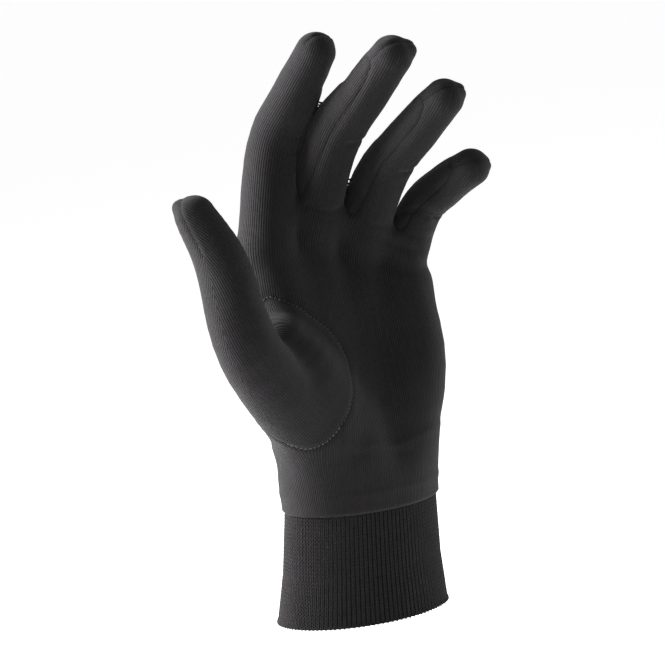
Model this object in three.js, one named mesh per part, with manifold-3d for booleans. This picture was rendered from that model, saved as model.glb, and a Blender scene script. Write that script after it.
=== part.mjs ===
// Left-hand knitted liner glove with a ribbed wrist, held in the shape of a relaxed hand. Sizes in mm.
// Origin: centre of the wrist opening at the cuff's lower edge. +Z runs to the fingertips, -Y is the
// palm side and +X the little finger's side.
import * as THREE from "three";
import Module from "manifold-3d";

const wasm = await Module();
wasm.setup();

// Cloth and clearances
const CLOTH_THICKNESS = 1.4;
const SEAM_GAP = 0.5;

// Ribbed cuff
const CUFF_HEIGHT = 46;
const CUFF_THICKNESS = 2;
const CUFF_LOWER_HALF_WIDTH = 40;
const CUFF_LOWER_HALF_DEPTH = 27.5;
const CUFF_INSET = 0.8;
const RIB_COUNT = 112;
const RIB_DEPTH = 0.6;

// Wrist of the hand, where it meets the cuff
const WRIST_HALF_WIDTH = 36.5;
const WRIST_HALF_DEPTH = 24.5;
const WRIST_SHIFT = 2.5;
const WRIST_TAPER = { width: 0.1, depth: 0.28 };
const WRIST_RISE = 20;
const HEM_DEPTH = 8;
const HEM_RIDGE = 0.4;
const HEM_RIDGE_WIDTH = 1.5;

// Palm
const PALM_LENGTH = 87;
const PALM_WIDTH = 66;
const PALM_THICKNESS = 30;
const WRIST_BEND = 11;
const WRIST_LEAN = 6;

// How far the forms of the hand round into each other
const ROUNDING = { bones: 10, wrist: 14, webs: 4, thumb: 9 };

// Fingers: lengths from the knuckle to the tip, widths at the middle joint
const INDEX_LENGTH = 98.3;
const MIDDLE_LENGTH = 106;
const RING_LENGTH = 100;
const LITTLE_LENGTH = 76;
const INDEX_WIDTH = 21;
const MIDDLE_WIDTH = 20.8;
const RING_WIDTH = 20.2;
const LITTLE_WIDTH = 18.4;
const WEB_REACH = 15;
const WEB_THICKNESS = 17;
const FOURCHETTE_WIDTH = 10;
const FOURCHETTE_SET_BACK = 2.8;

// Thumb: length from the root in the palm to the tip
const THUMB_LENGTH = 119.5;
const THUMB_WIDTH = 22;

// Facets of the cloth: width, height, and the shortest edge kept
const FACET = { width: 5.7, height: 8.3 };
const SHORTEST_EDGE = 2.8;
const SEAM_SHARE = 0.3;

// Places of the knuckles, as shares of the palm's width (across), thickness (out of the palm's middle,
// towards the back) and length (up from the wrist); lean towards the little finger and bends of the three
// joints in degrees; the three bones as shares of the finger's length, and radii at the knuckle, the two
// joints and the tip as shares of the finger's width.
const FINGERS = [
  {
    name: "index", length: INDEX_LENGTH, width: INDEX_WIDTH, across: -0.502, back: 0.07, up: 0.99,
    lean: 8, bends: [5.1, 33, 4.7], bones: [0.4446, 0.2533, 0.2167], radii: [0.557, 0.5, 0.453, 0.396],
  },
  {
    name: "middle", length: MIDDLE_LENGTH, width: MIDDLE_WIDTH, across: -0.179, back: 0.1, up: 1,
    lean: 4.3, bends: [28.8, 22.4, 6.7], bones: [0.4235, 0.2864, 0.208], radii: [0.56, 0.5, 0.47, 0.41],
  },
  {
    name: "ring", length: RING_LENGTH, width: RING_WIDTH, across: 0.173, back: 0.03, up: 0.943,
    lean: -0.2, bends: [40.1, 19.3, 5.2], bones: [0.43, 0.286, 0.202], radii: [0.556, 0.5, 0.465, 0.4],
  },
  {
    name: "little", length: LITTLE_LENGTH, width: LITTLE_WIDTH, across: 0.455, back: -0.13, up: 0.85,
    lean: 4, bends: [36.3, 28.9, 9.5], bones: [0.413, 0.2595, 0.2256], radii: [0.576, 0.5, 0.473, 0.424],
  },
];

// The thumb's bones from its root: share of the thumb's length, the way each points (towards the index
// finger's side, out of the palm, up) and the radius at its far end as a share of the thumb's width.
const THUMB_ROOT = { across: -0.4, out: 0.24, up: 0.12, radius: 0.69 };
const THUMB_BONES = [
  { share: 0.442, side: 0.65, out: 0.17, up: 0.74, radius: 0.6 },
  { share: 0.303, side: 0.17, out: -0.16, up: 0.97, radius: 0.49 },
  { share: 0.189, side: 0.29, out: -0.3, up: 0.9, radius: 0.375 },
];

// Bones of the palm from the wrist to each knuckle, in the fingers' order: across the wrist as shares of the
// palm's width, and radii as shares of the palm's thickness at the wrist, half way and at the knuckle.
const PALM_RAYS = [
  { foot: -0.23, radii: [0.58, 0.5, 0.4] },
  { foot: -0.08, radii: [0.6, 0.53, 0.4] },
  { foot: 0.08, radii: [0.6, 0.53, 0.4] },
  { foot: 0.26, radii: [0.56, 0.51, 0.38] },
];

// Soft pads of the palm: rows of points as shares of the palm's width (across), thickness (out of the
// palm) and length (up), with radii as shares of its thickness.
const PADS = [
  {
    name: "thumb_ball",
    rows: [
      { across: -0.17, out: 0.2, up: 0.09, radius: 0.5 },
      { across: -0.44, out: 0.38, up: 0.36, radius: 0.48 },
      { across: -0.6, out: 0.34, up: 0.53, radius: 0.4 },
    ],
  },
  {
    name: "heel",
    rows: [
      { across: 0.32, out: 0.17, up: 0.07, radius: 0.5 },
      { across: 0.45, out: 0.27, up: 0.4, radius: 0.5 },
      { across: 0.48, out: 0.2, up: 0.78, radius: 0.4 },
    ],
  },
];

// Broad dents and folds of the cloth: place in the palm's shares as above, reach and depth in shares of
// the palm's thickness; a negative depth is a swelling.
const DENTS = [
  { name: "cup_of_palm", across: 0.05, out: 0.62, up: 0.52, reach: 0.6, depth: 0.05 },
  { name: "wrist_crease", across: 0.1, out: 0.62, up: -0.02, reach: 0.35, depth: 0.035 },
  { name: "side_seam_fullness", across: 0.46, out: 0.0, up: -0.2, reach: 0.4, depth: -0.04 },
];

// The thumb's oval seam, seen from its middle in the hollow of the thumb ball (shares of the palm as
// above): the way it faces, and rows that turn anticlockwise from the back of the thumb over the crotch to
// the palm, with the seam's tilt towards the thumb, in degrees.
const THUMB_SEAM_CENTRE = { across: -0.455, out: 0.2, up: 0.402 };
const THUMB_SEAM_FACING = { side: 0.75, out: 0.45, up: 0.48 };
const THUMB_SEAM = [
  { turn: 0, tilt: 20 },
  { turn: 40, tilt: 32 },
  { turn: 76, tilt: 44 },
  { turn: 105, tilt: 36 },
  { turn: 131, tilt: 0 },
  { turn: 159, tilt: -24 },
  { turn: 190, tilt: -23 },
  { turn: 217, tilt: -19 },
  { turn: 243, tilt: -12 },
  { turn: 263, tilt: -7 },
  { turn: 285, tilt: 10 },
  { turn: 320, tilt: 14 },
];

// The space round the thumb past its seam: rings at shares of its row, their sway towards the back of the
// hand, and how far they stand off the cloth, as shares of the thumb's width; it ends a thumb's width past
// the tip.
const THUMB_SPACE = [
  { share: 0.417, sway: 0.111, margin: 0.318 },
  { share: 0.556, sway: 0.083, margin: 0.273 },
  { share: 0.778, sway: 0, margin: 0.227 },
  { share: 1, sway: 0, margin: 0.227 },
];
const THUMB_SEAM_POINTS = 48;

// The sheet that parts the palm's panel from the back's: where it crosses the hem, in shares of the wrist's
// half width, its levels as shares of the palm's and the fingers' rows, and how far it runs out sideways and
// past the tips.
const PARTING = {
  hem: [-0.3, -0.08, 0.08, 0.3],
  palm: [0.15, 0.4, 0.65, 0.9],
  fingers: [0.1, 0.3, 0.45, 0.6, 0.75, 0.9, 1],
  sideways: 45,
  pastTips: 25,
};

// A finger's rings: shares of the way from its knuckle to the middle of its tip, then degrees up the tip
const FINGER_SIDES = 14;
const FINGER_RINGS = [0, 0.13, 0.26, 0.38, 0.5, 0.62, 0.74, 0.87, 1];
const FINGER_TIP_RINGS = [33, 64];

// Strips between the fingers: share of the way up the finger from the knuckle, and share of the strip's
// full width.
const FOURCHETTE = [
  { share: 0.15, width: 0.7 },
  { share: 0.2, width: 0.85 },
  { share: 0.27, width: 1 },
  { share: 0.38, width: 1 },
  { share: 0.5, width: 1 },
  { share: 0.65, width: 0.95 },
  { share: 0.8, width: 0.85 },
  { share: 0.93, width: 0.35 },
];

// The cuff's outline from its lower edge: share of its height and share of the way from the lower oval
// to the upper one.
const CUFF_ROWS = [
  { share: 0, upper: 0 },
  { share: 0.45, upper: 0.65 },
  { share: 1, upper: 1 },
];

const radians = (degrees) => (degrees * Math.PI) / 180;
const vec = (x, y, z) => new THREE.Vector3(x, y, z);

// Axes of the palm: across to the little finger, back out of the knuckles, and up to the fingers
const wristCentre = vec(0, 0, CUFF_HEIGHT + WRIST_RISE);
const palmUp = vec(
  Math.sin(radians(WRIST_LEAN)) * Math.cos(radians(WRIST_BEND)),
  Math.sin(radians(WRIST_BEND)),
  Math.cos(radians(WRIST_LEAN)) * Math.cos(radians(WRIST_BEND)),
);
const palmAcross = vec(Math.cos(radians(WRIST_LEAN)), 0, -Math.sin(radians(WRIST_LEAN)));
const palmBack = new THREE.Vector3().crossVectors(palmUp, palmAcross);

function inPalm(across, back, up) {
  return wristCentre
    .clone()
    .addScaledVector(palmAcross, across * PALM_WIDTH)
    .addScaledVector(palmBack, back * PALM_THICKNESS)
    .addScaledVector(palmUp, up * PALM_LENGTH);
}

// A limb is a row of points with radii
const ball = (point, radius) => ({ point, radius });

function fingerJoints(finger) {
  const along = palmAcross
    .clone()
    .multiplyScalar(Math.sin(radians(finger.lean)))
    .addScaledVector(palmUp, Math.cos(radians(finger.lean)));
  const joints = [ball(inPalm(finger.across, finger.back, finger.up), finger.radii[0] * finger.width)];
  let turn = 0;
  finger.bones.forEach((share, i) => {
    turn += radians(finger.bends[i]);
    const point = joints[i].point
      .clone()
      .addScaledVector(along, share * finger.length * Math.cos(turn))
      .addScaledVector(palmBack, -share * finger.length * Math.sin(turn));
    joints.push(ball(point, finger.radii[i + 1] * finger.width));
  });
  return joints;
}

function thumbJoints() {
  const joints = [
    ball(inPalm(THUMB_ROOT.across, -THUMB_ROOT.out, THUMB_ROOT.up), THUMB_ROOT.radius * THUMB_WIDTH),
  ];
  for (const bone of THUMB_BONES) {
    const way = vec(-bone.side, -bone.out, bone.up).normalize();
    const point = joints.at(-1).point.clone().addScaledVector(way, bone.share * THUMB_LENGTH);
    joints.push(ball(point, bone.radius * THUMB_WIDTH));
  }
  return joints;
}

// A smooth row of balls through the given ones
function smoothRow(row, steps) {
  const past = (end, next) =>
    ball(end.point.clone().multiplyScalar(2).sub(next.point), 2 * end.radius - next.radius);
  const last = row.at(-1);
  const all = [past(row[0], row[1]), ...row, past(last, row.at(-2))];
  const blend = (a, b, c, d, t) =>
    0.5 * (2 * b + (c - a) * t + (2 * a - 5 * b + 4 * c - d) * t * t + (3 * b - a - 3 * c + d) * t ** 3);
  const made = [];
  for (let i = 1; i < all.length - 2; i++) {
    for (let step = 0; step < steps; step++) {
      const four = all.slice(i - 1, i + 3);
      const t = step / steps;
      const mix = (read) => blend(...four.map(read), t);
      const point = vec(mix((b) => b.point.x), mix((b) => b.point.y), mix((b) => b.point.z));
      made.push(ball(point, mix((b) => b.radius)));
    }
  }
  made.push(last);
  return made;
}

// Distance from a point to a row of balls joined by cones
function rowDistance(row, x, y, z) {
  let least = Infinity;
  for (let i = 0; i + 1 < row.length; i++) {
    const a = row[i].point;
    const b = row[i + 1].point;
    const bx = b.x - a.x;
    const by = b.y - a.y;
    const bz = b.z - a.z;
    const px = x - a.x;
    const py = y - a.y;
    const pz = z - a.z;
    const share = Math.min(1, Math.max(0, (px * bx + py * by + pz * bz) / (bx * bx + by * by + bz * bz)));
    const away = Math.hypot(px - share * bx, py - share * by, pz - share * bz);
    least = Math.min(least, away - (row[i].radius + share * (row[i + 1].radius - row[i].radius)));
  }
  return least;
}

function smoothUnion(a, b, reach) {
  const overlap = Math.max(reach - Math.abs(a - b), 0) / reach;
  return Math.min(a, b) - overlap * overlap * reach * 0.25;
}

const fingerRows = FINGERS.map((finger) => smoothRow(fingerJoints(finger), 6));
const thumbRow = smoothRow(thumbJoints(), 6);
const rayRows = PALM_RAYS.map((ray, i) => {
  const finger = FINGERS[i];
  const radii = ray.radii.map((share) => share * PALM_THICKNESS);
  return smoothRow(
    [
      ball(inPalm(ray.foot, 0, -0.04), radii[0]),
      ball(inPalm((ray.foot + finger.across) / 2, finger.back / 2, finger.up / 2), radii[1]),
      ball(inPalm(finger.across, finger.back, finger.up), radii[2]),
    ],
    4,
  );
});
const padRows = PADS.map((pad) =>
  smoothRow(pad.rows.map((r) => ball(inPalm(r.across, -r.out, r.up), r.radius * PALM_THICKNESS)), 4),
);
const webRows = [0, 1, 2].map((i) => {
  const ends = [i, i + 1].map((j) => {
    const knuckle = fingerJoints(FINGERS[j]);
    const along = knuckle[1].point.clone().sub(knuckle[0].point).normalize();
    return ball(knuckle[0].point.addScaledVector(along, WEB_REACH), WEB_THICKNESS / 2);
  });
  return ends;
});
const dents = DENTS.map((dent) => ({
  point: inPalm(dent.across, -dent.out, dent.up),
  reach: dent.reach * PALM_THICKNESS,
  depth: dent.depth * PALM_THICKNESS,
}));

// Distance to the oval tube of the wrist, which narrows into the palm and runs straight down past the hem
function wristDistance(x, y, z) {
  const share = Math.min(Math.max((z - CUFF_HEIGHT) / WRIST_RISE, 0), 1.3);
  const halfWidth = WRIST_HALF_WIDTH * (1 - WRIST_TAPER.width * share);
  const halfDepth = WRIST_HALF_DEPTH * (1 - WRIST_TAPER.depth * share);
  const across = x - WRIST_SHIFT;
  const nearest = Math.hypot(across / halfWidth, y / halfDepth);
  const slope = Math.hypot(across / halfWidth ** 2, y / halfDepth ** 2);
  const side = nearest < 1e-6 ? -halfDepth : (nearest * (nearest - 1)) / slope;
  const top = z - (CUFF_HEIGHT + WRIST_RISE);
  const bottom = CUFF_HEIGHT - 2.5 * HEM_DEPTH - z;
  return Math.max(side, top, bottom);
}

// Distance to the outside of the palm, its webs and the thumb, below zero inside them
function palmDistance(x, y, z) {
  let palm = Infinity;
  for (const row of [...rayRows, ...padRows]) {
    palm = smoothUnion(palm, rowDistance(row, x, y, z), ROUNDING.bones);
  }
  palm = smoothUnion(palm, wristDistance(x, y, z), ROUNDING.wrist);
  for (const row of webRows) {
    palm = smoothUnion(palm, rowDistance(row, x, y, z), ROUNDING.webs);
  }
  let pressed = smoothUnion(palm, rowDistance(thumbRow, x, y, z), ROUNDING.thumb);
  for (const dent of dents) {
    const far = Math.hypot(x - dent.point.x, y - dent.point.y, z - dent.point.z) / dent.reach;
    pressed += dent.depth * Math.exp(-far * far * 2);
  }
  const hem = (z - (CUFF_HEIGHT + HEM_DEPTH)) / HEM_RIDGE_WIDTH;
  return pressed - HEM_RIDGE * Math.exp(-hem * hem);
}

// Closed facets on the surface where a distance field is zero: a cell crossed by the surface gives
// one corner, and an edge crossed by it one four-cornered facet.
function surfaceOf(distance, facet, low, high) {
  const size = [facet.width, facet.width, facet.height];
  const count = [0, 1, 2].map((k) => Math.ceil((high[k] - low[k]) / size[k]) + 1);
  const at = (i, j, k) => i + count[0] * (j + count[1] * k);
  const place = (axis, n) => low[axis] + n * size[axis];
  const value = new Float64Array(count[0] * count[1] * count[2]);
  for (let k = 0; k < count[2]; k++) {
    for (let j = 0; j < count[1]; j++) {
      for (let i = 0; i < count[0]; i++) {
        value[at(i, j, k)] = distance(place(0, i), place(1, j), place(2, k));
      }
    }
  }
  const corners = [];
  const cornerOf = new Map();
  const cube = [0, 1, 2, 3, 4, 5, 6, 7].map((n) => [n & 1, (n >> 1) & 1, (n >> 2) & 1]);
  const edges = [];
  for (const a of [0, 1, 2, 3, 4, 5, 6, 7]) {
    for (const bit of [1, 2, 4]) {
      if (!(a & bit)) edges.push([a, a | bit]);
    }
  }
  for (let k = 0; k + 1 < count[2]; k++) {
    for (let j = 0; j + 1 < count[1]; j++) {
      for (let i = 0; i + 1 < count[0]; i++) {
        const eight = cube.map(([a, b, c]) => value[at(i + a, j + b, k + c)]);
        const sum = [0, 0, 0];
        let crossed = 0;
        for (const [a, b] of edges) {
          if (eight[a] < 0 === eight[b] < 0) continue;
          const share = eight[a] / (eight[a] - eight[b]);
          crossed += 1;
          for (const axis of [0, 1, 2]) {
            sum[axis] += cube[a][axis] + share * (cube[b][axis] - cube[a][axis]);
          }
        }
        if (!crossed) continue;
        cornerOf.set(at(i, j, k), corners.length);
        corners.push(sum.map((s, axis) => place(axis, [i, j, k][axis] + s / crossed)));
      }
    }
  }
  const quads = [];
  for (let k = 1; k + 1 < count[2]; k++) {
    for (let j = 1; j + 1 < count[1]; j++) {
      for (let i = 1; i + 1 < count[0]; i++) {
        const here = value[at(i, j, k)] < 0;
        const steps = [[1, 0, 0], [0, 1, 0], [0, 0, 1]];
        steps.forEach(([a, b, c], axis) => {
          if (value[at(i + a, j + b, k + c)] < 0 === here) return;
          const u = steps[(axis + 1) % 3];
          const v = steps[(axis + 2) % 3];
          const back = (m, n) => [i, j, k].map((place, along) => place - m * u[along] - n * v[along]);
          const cell = (m, n) => cornerOf.get(at(...back(m, n)));
          const quad = [cell(1, 1), cell(0, 1), cell(0, 0), cell(1, 0)];
          quads.push(here ? quad : quad.reverse());
        });
      }
    }
  }
  return relaxed(corners, quads, distance);
}

function mixPoints(a, b, share) {
  return a.map((v, axis) => v + share * (b[axis] - v));
}

function middleOf(points) {
  return [0, 1, 2].map((axis) => points.reduce((sum, p) => sum + p[axis], 0) / points.length);
}

// The way out of a distance field at a point, and how steep it is there
function slopeOf(distance, p) {
  const step = 0.05;
  const here = distance(...p);
  const slope = p.map((_, axis) => {
    const q = [...p];
    q[axis] += step;
    return (distance(...q) - here) / step;
  });
  return { here, slope, steep: Math.max(Math.hypot(...slope), 0.5) };
}

// Slides the corners to even out the facets, brings each back to the surface, and swells the whole by half
// of what the flat facets cut off
function relaxed(corners, quads, distance) {
  const neighbours = corners.map(() => new Set());
  const facetsAt = corners.map(() => []);
  for (const quad of quads) {
    quad.forEach((corner, n) => {
      neighbours[corner].add(quad[(n + 1) % 4]);
      neighbours[quad[(n + 1) % 4]].add(corner);
      facetsAt[corner].push(quad);
    });
  }
  const toSurface = (p) => {
    for (let turn = 0; turn < 3; turn++) {
      const { here, slope, steep } = slopeOf(distance, p);
      p = p.map((c, axis) => c - (here * slope[axis]) / steep ** 2);
    }
    return p;
  };
  let placed = corners.map(toSurface);
  for (let turn = 0; turn < 5; turn++) {
    const moved = placed.map((p, n) => {
      const near = [...neighbours[n]];
      return mixPoints(p, middleOf(near.map((m) => placed[m])), 0.5);
    });
    placed = moved.map(toSurface);
  }
  const swollen = placed.map((p, n) => {
    const depths = facetsAt[n].map((quad) => distance(...middleOf(quad.map((m) => placed[m]))));
    const rise = Math.max(-depths.reduce((sum, d) => sum + d, 0) / depths.length / 2, -0.3);
    const { slope, steep } = slopeOf(distance, p);
    return p.map((c, axis) => c + (rise * slope[axis]) / steep);
  });
  return { points: swollen, triangles: quads.flatMap((quad) => splitQuad(swollen, quad)) };
}

// Points of a surface moved inwards by a depth
function drawnIn(points, distance, depth) {
  return points.map((p) => {
    const { slope, steep } = slopeOf(distance, p);
    return p.map((c, axis) => c - (depth * slope[axis]) / steep);
  });
}

// A four-cornered facet is split along its shorter diagonal
function splitQuad(points, [a, b, c, d]) {
  const apart = (m, n) => Math.hypot(...points[m].map((v, axis) => v - points[n][axis]));
  return apart(a, c) < apart(b, d) ? [[a, b, c], [a, c, d]] : [[a, b, d], [b, c, d]];
}

function solid(points, triangles) {
  return new wasm.Manifold(
    new wasm.Mesh({
      numProp: 3,
      vertProperties: new Float32Array(points.flat()),
      triVerts: new Uint32Array(triangles.flat()),
    }),
  );
}

// A closed solid through rings of equally many points; its ends are fans to their middles, or to the given
// points
function loft(rings, firstMiddle, lastMiddle) {
  const round = rings[0].length;
  const points = rings.flat();
  const triangles = [];
  for (let i = 0; i + 1 < rings.length; i++) {
    for (let j = 0; j < round; j++) {
      const a = i * round + j;
      const b = i * round + ((j + 1) % round);
      triangles.push([a, b, b + round], [a, b + round, a + round]);
    }
  }
  const capped = (ring, facing) => {
    const start = ring * round;
    const centre = points.length;
    points.push((ring === 0 ? firstMiddle : lastMiddle) ?? middleOf(rings[ring]));
    for (let j = 0; j < round; j++) {
      const pair = [start + j, start + ((j + 1) % round)];
      triangles.push(facing > 0 ? [...pair, centre] : [pair[1], pair[0], centre]);
    }
  };
  capped(0, -1);
  capped(rings.length - 1, 1);
  const made = solid(points, triangles);
  return made.volume() < 0 ? solid(points, triangles.map((t) => t.reverse())) : made;
}

const listOf = (v) => [v.x, v.y, v.z];

// Where a finger's row is at a share of its length, with the way out of the palm side and across it
function fingerFrame(row, share) {
  const place = Math.min(share, 0.9999) * (row.length - 1);
  const i = Math.floor(place);
  const point = row[i].point.clone().lerp(row[i + 1].point, place - i);
  const radius = row[i].radius + (place - i) * (row[i + 1].radius - row[i].radius);
  const along = row[i + 1].point.clone().sub(row[i].point).normalize();
  const side = palmAcross.clone().addScaledVector(along, -palmAcross.dot(along)).normalize();
  const out = new THREE.Vector3().crossVectors(side, along);
  return { point, radius, along, side, out };
}

// A finger as a closed round tube from its knuckle to its rounded tip, its skin drawn in by an inset
function fingerTube(row, inset) {
  const ringAt = ({ point, side, out }, radius) =>
    Array.from({ length: FINGER_SIDES }, (_, i) => {
      const turn = (2 * Math.PI * (i + 0.5)) / FINGER_SIDES;
      const p = point.clone().addScaledVector(side, radius * Math.cos(turn));
      return listOf(p.addScaledVector(out, radius * Math.sin(turn)));
    });
  const rings = FINGER_RINGS.map((share) => {
    const frame = fingerFrame(row, share);
    return ringAt(frame, frame.radius - inset);
  });
  const tip = fingerFrame(row, 1);
  const round = tip.radius - inset;
  for (const rise of FINGER_TIP_RINGS) {
    const point = tip.point.clone().addScaledVector(tip.along, round * Math.sin(radians(rise)));
    rings.push(ringAt({ ...tip, point }, round * Math.cos(radians(rise))));
  }
  const top = tip.point.clone().addScaledVector(tip.along, round);
  return loft(rings, undefined, listOf(top));
}

// The strip of space between a finger and the next one that their fourchette is cut from; on each finger
// it is as wide as the finger allows
function stripAfter(finger, clearance) {
  const last = FOURCHETTE.length - 1;
  const rings = FOURCHETTE.map(({ share, width }, i) => {
    const inset = (i === 0 ? 1 : i === last ? -1 : 0) * ((2 * clearance) / LITTLE_LENGTH);
    const [a, b] = [finger, finger + 1].map((n) => fingerFrame(fingerRows[n], share + inset));
    const face = new THREE.Vector3()
      .crossVectors(b.point.clone().sub(a.point), a.along.clone().add(b.along))
      .normalize();
    const corner = (frame, n, towardsPalm) => {
      const fit = (width * FINGERS[n].width) / MIDDLE_WIDTH;
      const slack = clearance / Math.max(0.3, Math.abs(frame.out.dot(face)));
      const rise = towardsPalm * ((FOURCHETTE_WIDTH * fit) / 2 - slack) - FOURCHETTE_SET_BACK * fit;
      const inwards = n === finger ? clearance : -clearance;
      const place = frame.point.clone().addScaledVector(frame.out, rise);
      return listOf(place.addScaledVector(frame.side, inwards));
    };
    return [corner(a, finger, -1), corner(a, finger, 1), corner(b, finger + 1, 1), corner(b, finger + 1, -1)];
  });
  return loft(rings);
}

// Everything on the back of the sheet through the fingers' and the palm's middle
function backOf(clearance) {
  const { sideways, pastTips } = PARTING;
  const wristRow = PARTING.hem.map((share) => ({
    point: vec(WRIST_SHIFT + share * WRIST_HALF_WIDTH, 0, CUFF_HEIGHT - HEM_DEPTH),
    side: vec(1, 0, 0),
    out: vec(0, -1, 0),
  }));
  const levels = (rows, shares) => shares.map((share) => rows.map((row) => fingerFrame(row, share)));
  const beyond = fingerRows.map((row) => {
    const frame = fingerFrame(row, 1);
    return { ...frame, point: frame.point.clone().addScaledVector(frame.along, pastTips) };
  });
  const palmLevels = levels(rayRows, PARTING.palm);
  const fingerLevels = levels(fingerRows, PARTING.fingers);
  const rings = [wristRow, ...palmLevels, ...fingerLevels, beyond].map((frames) => {
    const near = frames.map((f) => f.point.clone().addScaledVector(f.out, clearance));
    near.unshift(near[0].clone().addScaledVector(frames[0].side, -sideways));
    near.push(near.at(-1).clone().addScaledVector(frames.at(-1).side, sideways));
    const outs = [frames[0], ...frames, frames.at(-1)].map((f) => f.out);
    const far = near.map((p, i) => p.clone().addScaledVector(outs[i], -sideways));
    return [...near, ...far.reverse()].map(listOf);
  });
  return loft(rings);
}

// The thumb's side of its oval seam: a fan through the seam, closed round the outside of the thumb
function thumbSpace(clearance) {
  const facing = vec(-THUMB_SEAM_FACING.side, -THUMB_SEAM_FACING.out, THUMB_SEAM_FACING.up).normalize();
  const centre = inPalm(THUMB_SEAM_CENTRE.across, -THUMB_SEAM_CENTRE.out, THUMB_SEAM_CENTRE.up);
  const up = vec(0, 0, 1).addScaledVector(facing, -facing.z).normalize();
  const side = new THREE.Vector3().crossVectors(facing, up);
  const turns = Array.from({ length: THUMB_SEAM_POINTS }, (_, i) => (i * 360) / THUMB_SEAM_POINTS);
  const seam = turns.map((turn) => {
    const tilt = radians(smoothTilt(turn));
    const ray = side
      .clone()
      .multiplyScalar(Math.cos(tilt) * Math.cos(radians(turn)))
      .addScaledVector(up, Math.cos(tilt) * Math.sin(radians(turn)))
      .addScaledVector(facing, Math.sin(tilt));
    let far = THUMB_WIDTH / 2;
    const distanceAt = (t) => palmDistance(...listOf(centre.clone().addScaledVector(ray, t)));
    for (let step = 0; step < 60 && distanceAt(far) < -0.05; step++) {
      far += Math.max(0.1, -0.7 * distanceAt(far));
    }
    const margin = CLOTH_THICKNESS * 4;
    return centre.clone().addScaledVector(ray, far + margin).addScaledVector(facing, clearance);
  });
  const around = ({ share, sway, margin }) =>
    turns.map((turn) => {
      const frame = thumbFrame(share + sway * Math.sin(radians(turn)), side);
      const radius = frame.radius + margin * THUMB_WIDTH * (1 - 0.3 * Math.sin(radians(turn)));
      return frame.point
        .clone()
        .addScaledVector(frame.side, radius * Math.cos(radians(turn)))
        .addScaledVector(frame.over, radius * Math.sin(radians(turn)));
    });
  const tip = thumbFrame(1, side);
  const beyond = around(THUMB_SPACE.at(-1)).map((p) => p.addScaledVector(tip.along, THUMB_WIDTH));
  const rings = [seam, ...THUMB_SPACE.map(around), beyond];
  return loft(
    rings.map((ring) => ring.map(listOf)),
    listOf(centre.clone().addScaledVector(facing, clearance)),
  );
}

function thumbFrame(share, side) {
  const place = Math.min(share, 0.9999) * (thumbRow.length - 1);
  const i = Math.floor(place);
  const point = thumbRow[i].point.clone().lerp(thumbRow[i + 1].point, place - i);
  const radius = thumbRow[i].radius;
  const along = thumbRow[i + 1].point.clone().sub(thumbRow[i].point).normalize();
  const across = side.clone().addScaledVector(along, -side.dot(along)).normalize();
  const over = new THREE.Vector3().crossVectors(across, along);
  return { point, radius, along, side: across, over };
}

// The seam's tilt between its rows
function smoothTilt(turn) {
  const rows = THUMB_SEAM;
  const after = rows.findIndex((row) => row.turn > turn);
  const i = (after < 0 ? rows.length : after) - 1;
  const row = (n) => rows[(n + rows.length) % rows.length];
  const next = row(i + 1).turn + (i + 1 >= rows.length ? 360 : 0);
  const t = (turn - row(i).turn) / (next - row(i).turn);
  const [a, b, c, d] = [-1, 0, 1, 2].map((n) => row(i + n).tilt);
  return 0.5 * (2 * b + (c - a) * t + (2 * a - 5 * b + 4 * c - d) * t * t + (3 * b - a - 3 * c + d) * t ** 3);
}

// The ribbed cuff: its outside stands up and down at every rib, its inside is a plain oval
function ribbedCuff() {
  const upperWidth = WRIST_HALF_WIDTH - CUFF_INSET;
  const upperDepth = WRIST_HALF_DEPTH - CUFF_INSET;
  const ovalAt = (row, thickness, count, rise) => {
    const width = CUFF_LOWER_HALF_WIDTH + row.upper * (upperWidth - CUFF_LOWER_HALF_WIDTH) - thickness;
    const depth = CUFF_LOWER_HALF_DEPTH + row.upper * (upperDepth - CUFF_LOWER_HALF_DEPTH) - thickness;
    return Array.from({ length: count }, (_, i) => {
      const turn = (2 * Math.PI * i) / count;
      const groove = i % 2 ? rise : 0;
      return [
        WRIST_SHIFT * row.share + (width - groove) * Math.cos(turn),
        (depth - groove) * Math.sin(turn),
        row.share * (CUFF_HEIGHT - SEAM_GAP),
      ];
    });
  };
  const outside = loft(CUFF_ROWS.map((row) => ovalAt(row, 0, 2 * RIB_COUNT, RIB_DEPTH)));
  const inside = loft(
    [-0.1, ...CUFF_ROWS.map((row) => row.share).slice(1, -1), 1.1].map((share, i) => {
      const row = { share, upper: [CUFF_ROWS[0].upper, ...CUFF_ROWS.slice(1, -1).map((r) => r.upper), 1][i] };
      return ovalAt(row, CUFF_THICKNESS, RIB_COUNT / 2, 0);
    }),
  );
  return outside.subtract(inside);
}

function bodiesOf(made) {
  return made.decompose().sort((a, b) => b.volume() - a.volume());
}

const wholeOf = (made) => bodiesOf(made)[0];

const low = [-110, -95, CUFF_HEIGHT - 4 * HEM_DEPTH];
const high = [75, 45, 210];
const palmSurface = surfaceOf(palmDistance, FACET, low, high);
const outside = solid(palmSurface.points, palmSurface.triangles);
const inside = solid(drawnIn(palmSurface.points, palmDistance, CLOTH_THICKNESS), palmSurface.triangles);
const joined = (first, rest) => rest.reduce((whole, piece) => whole.add(piece), first);
const outer = joined(outside, fingerRows.map((row) => fingerTube(row, 0)));
const inner = joined(inside, fingerRows.map((row) => fingerTube(row, CLOTH_THICKNESS)));
const hand = outer.subtract(inner).trimByPlane([0, 0, 1], CUFF_HEIGHT);

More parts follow.
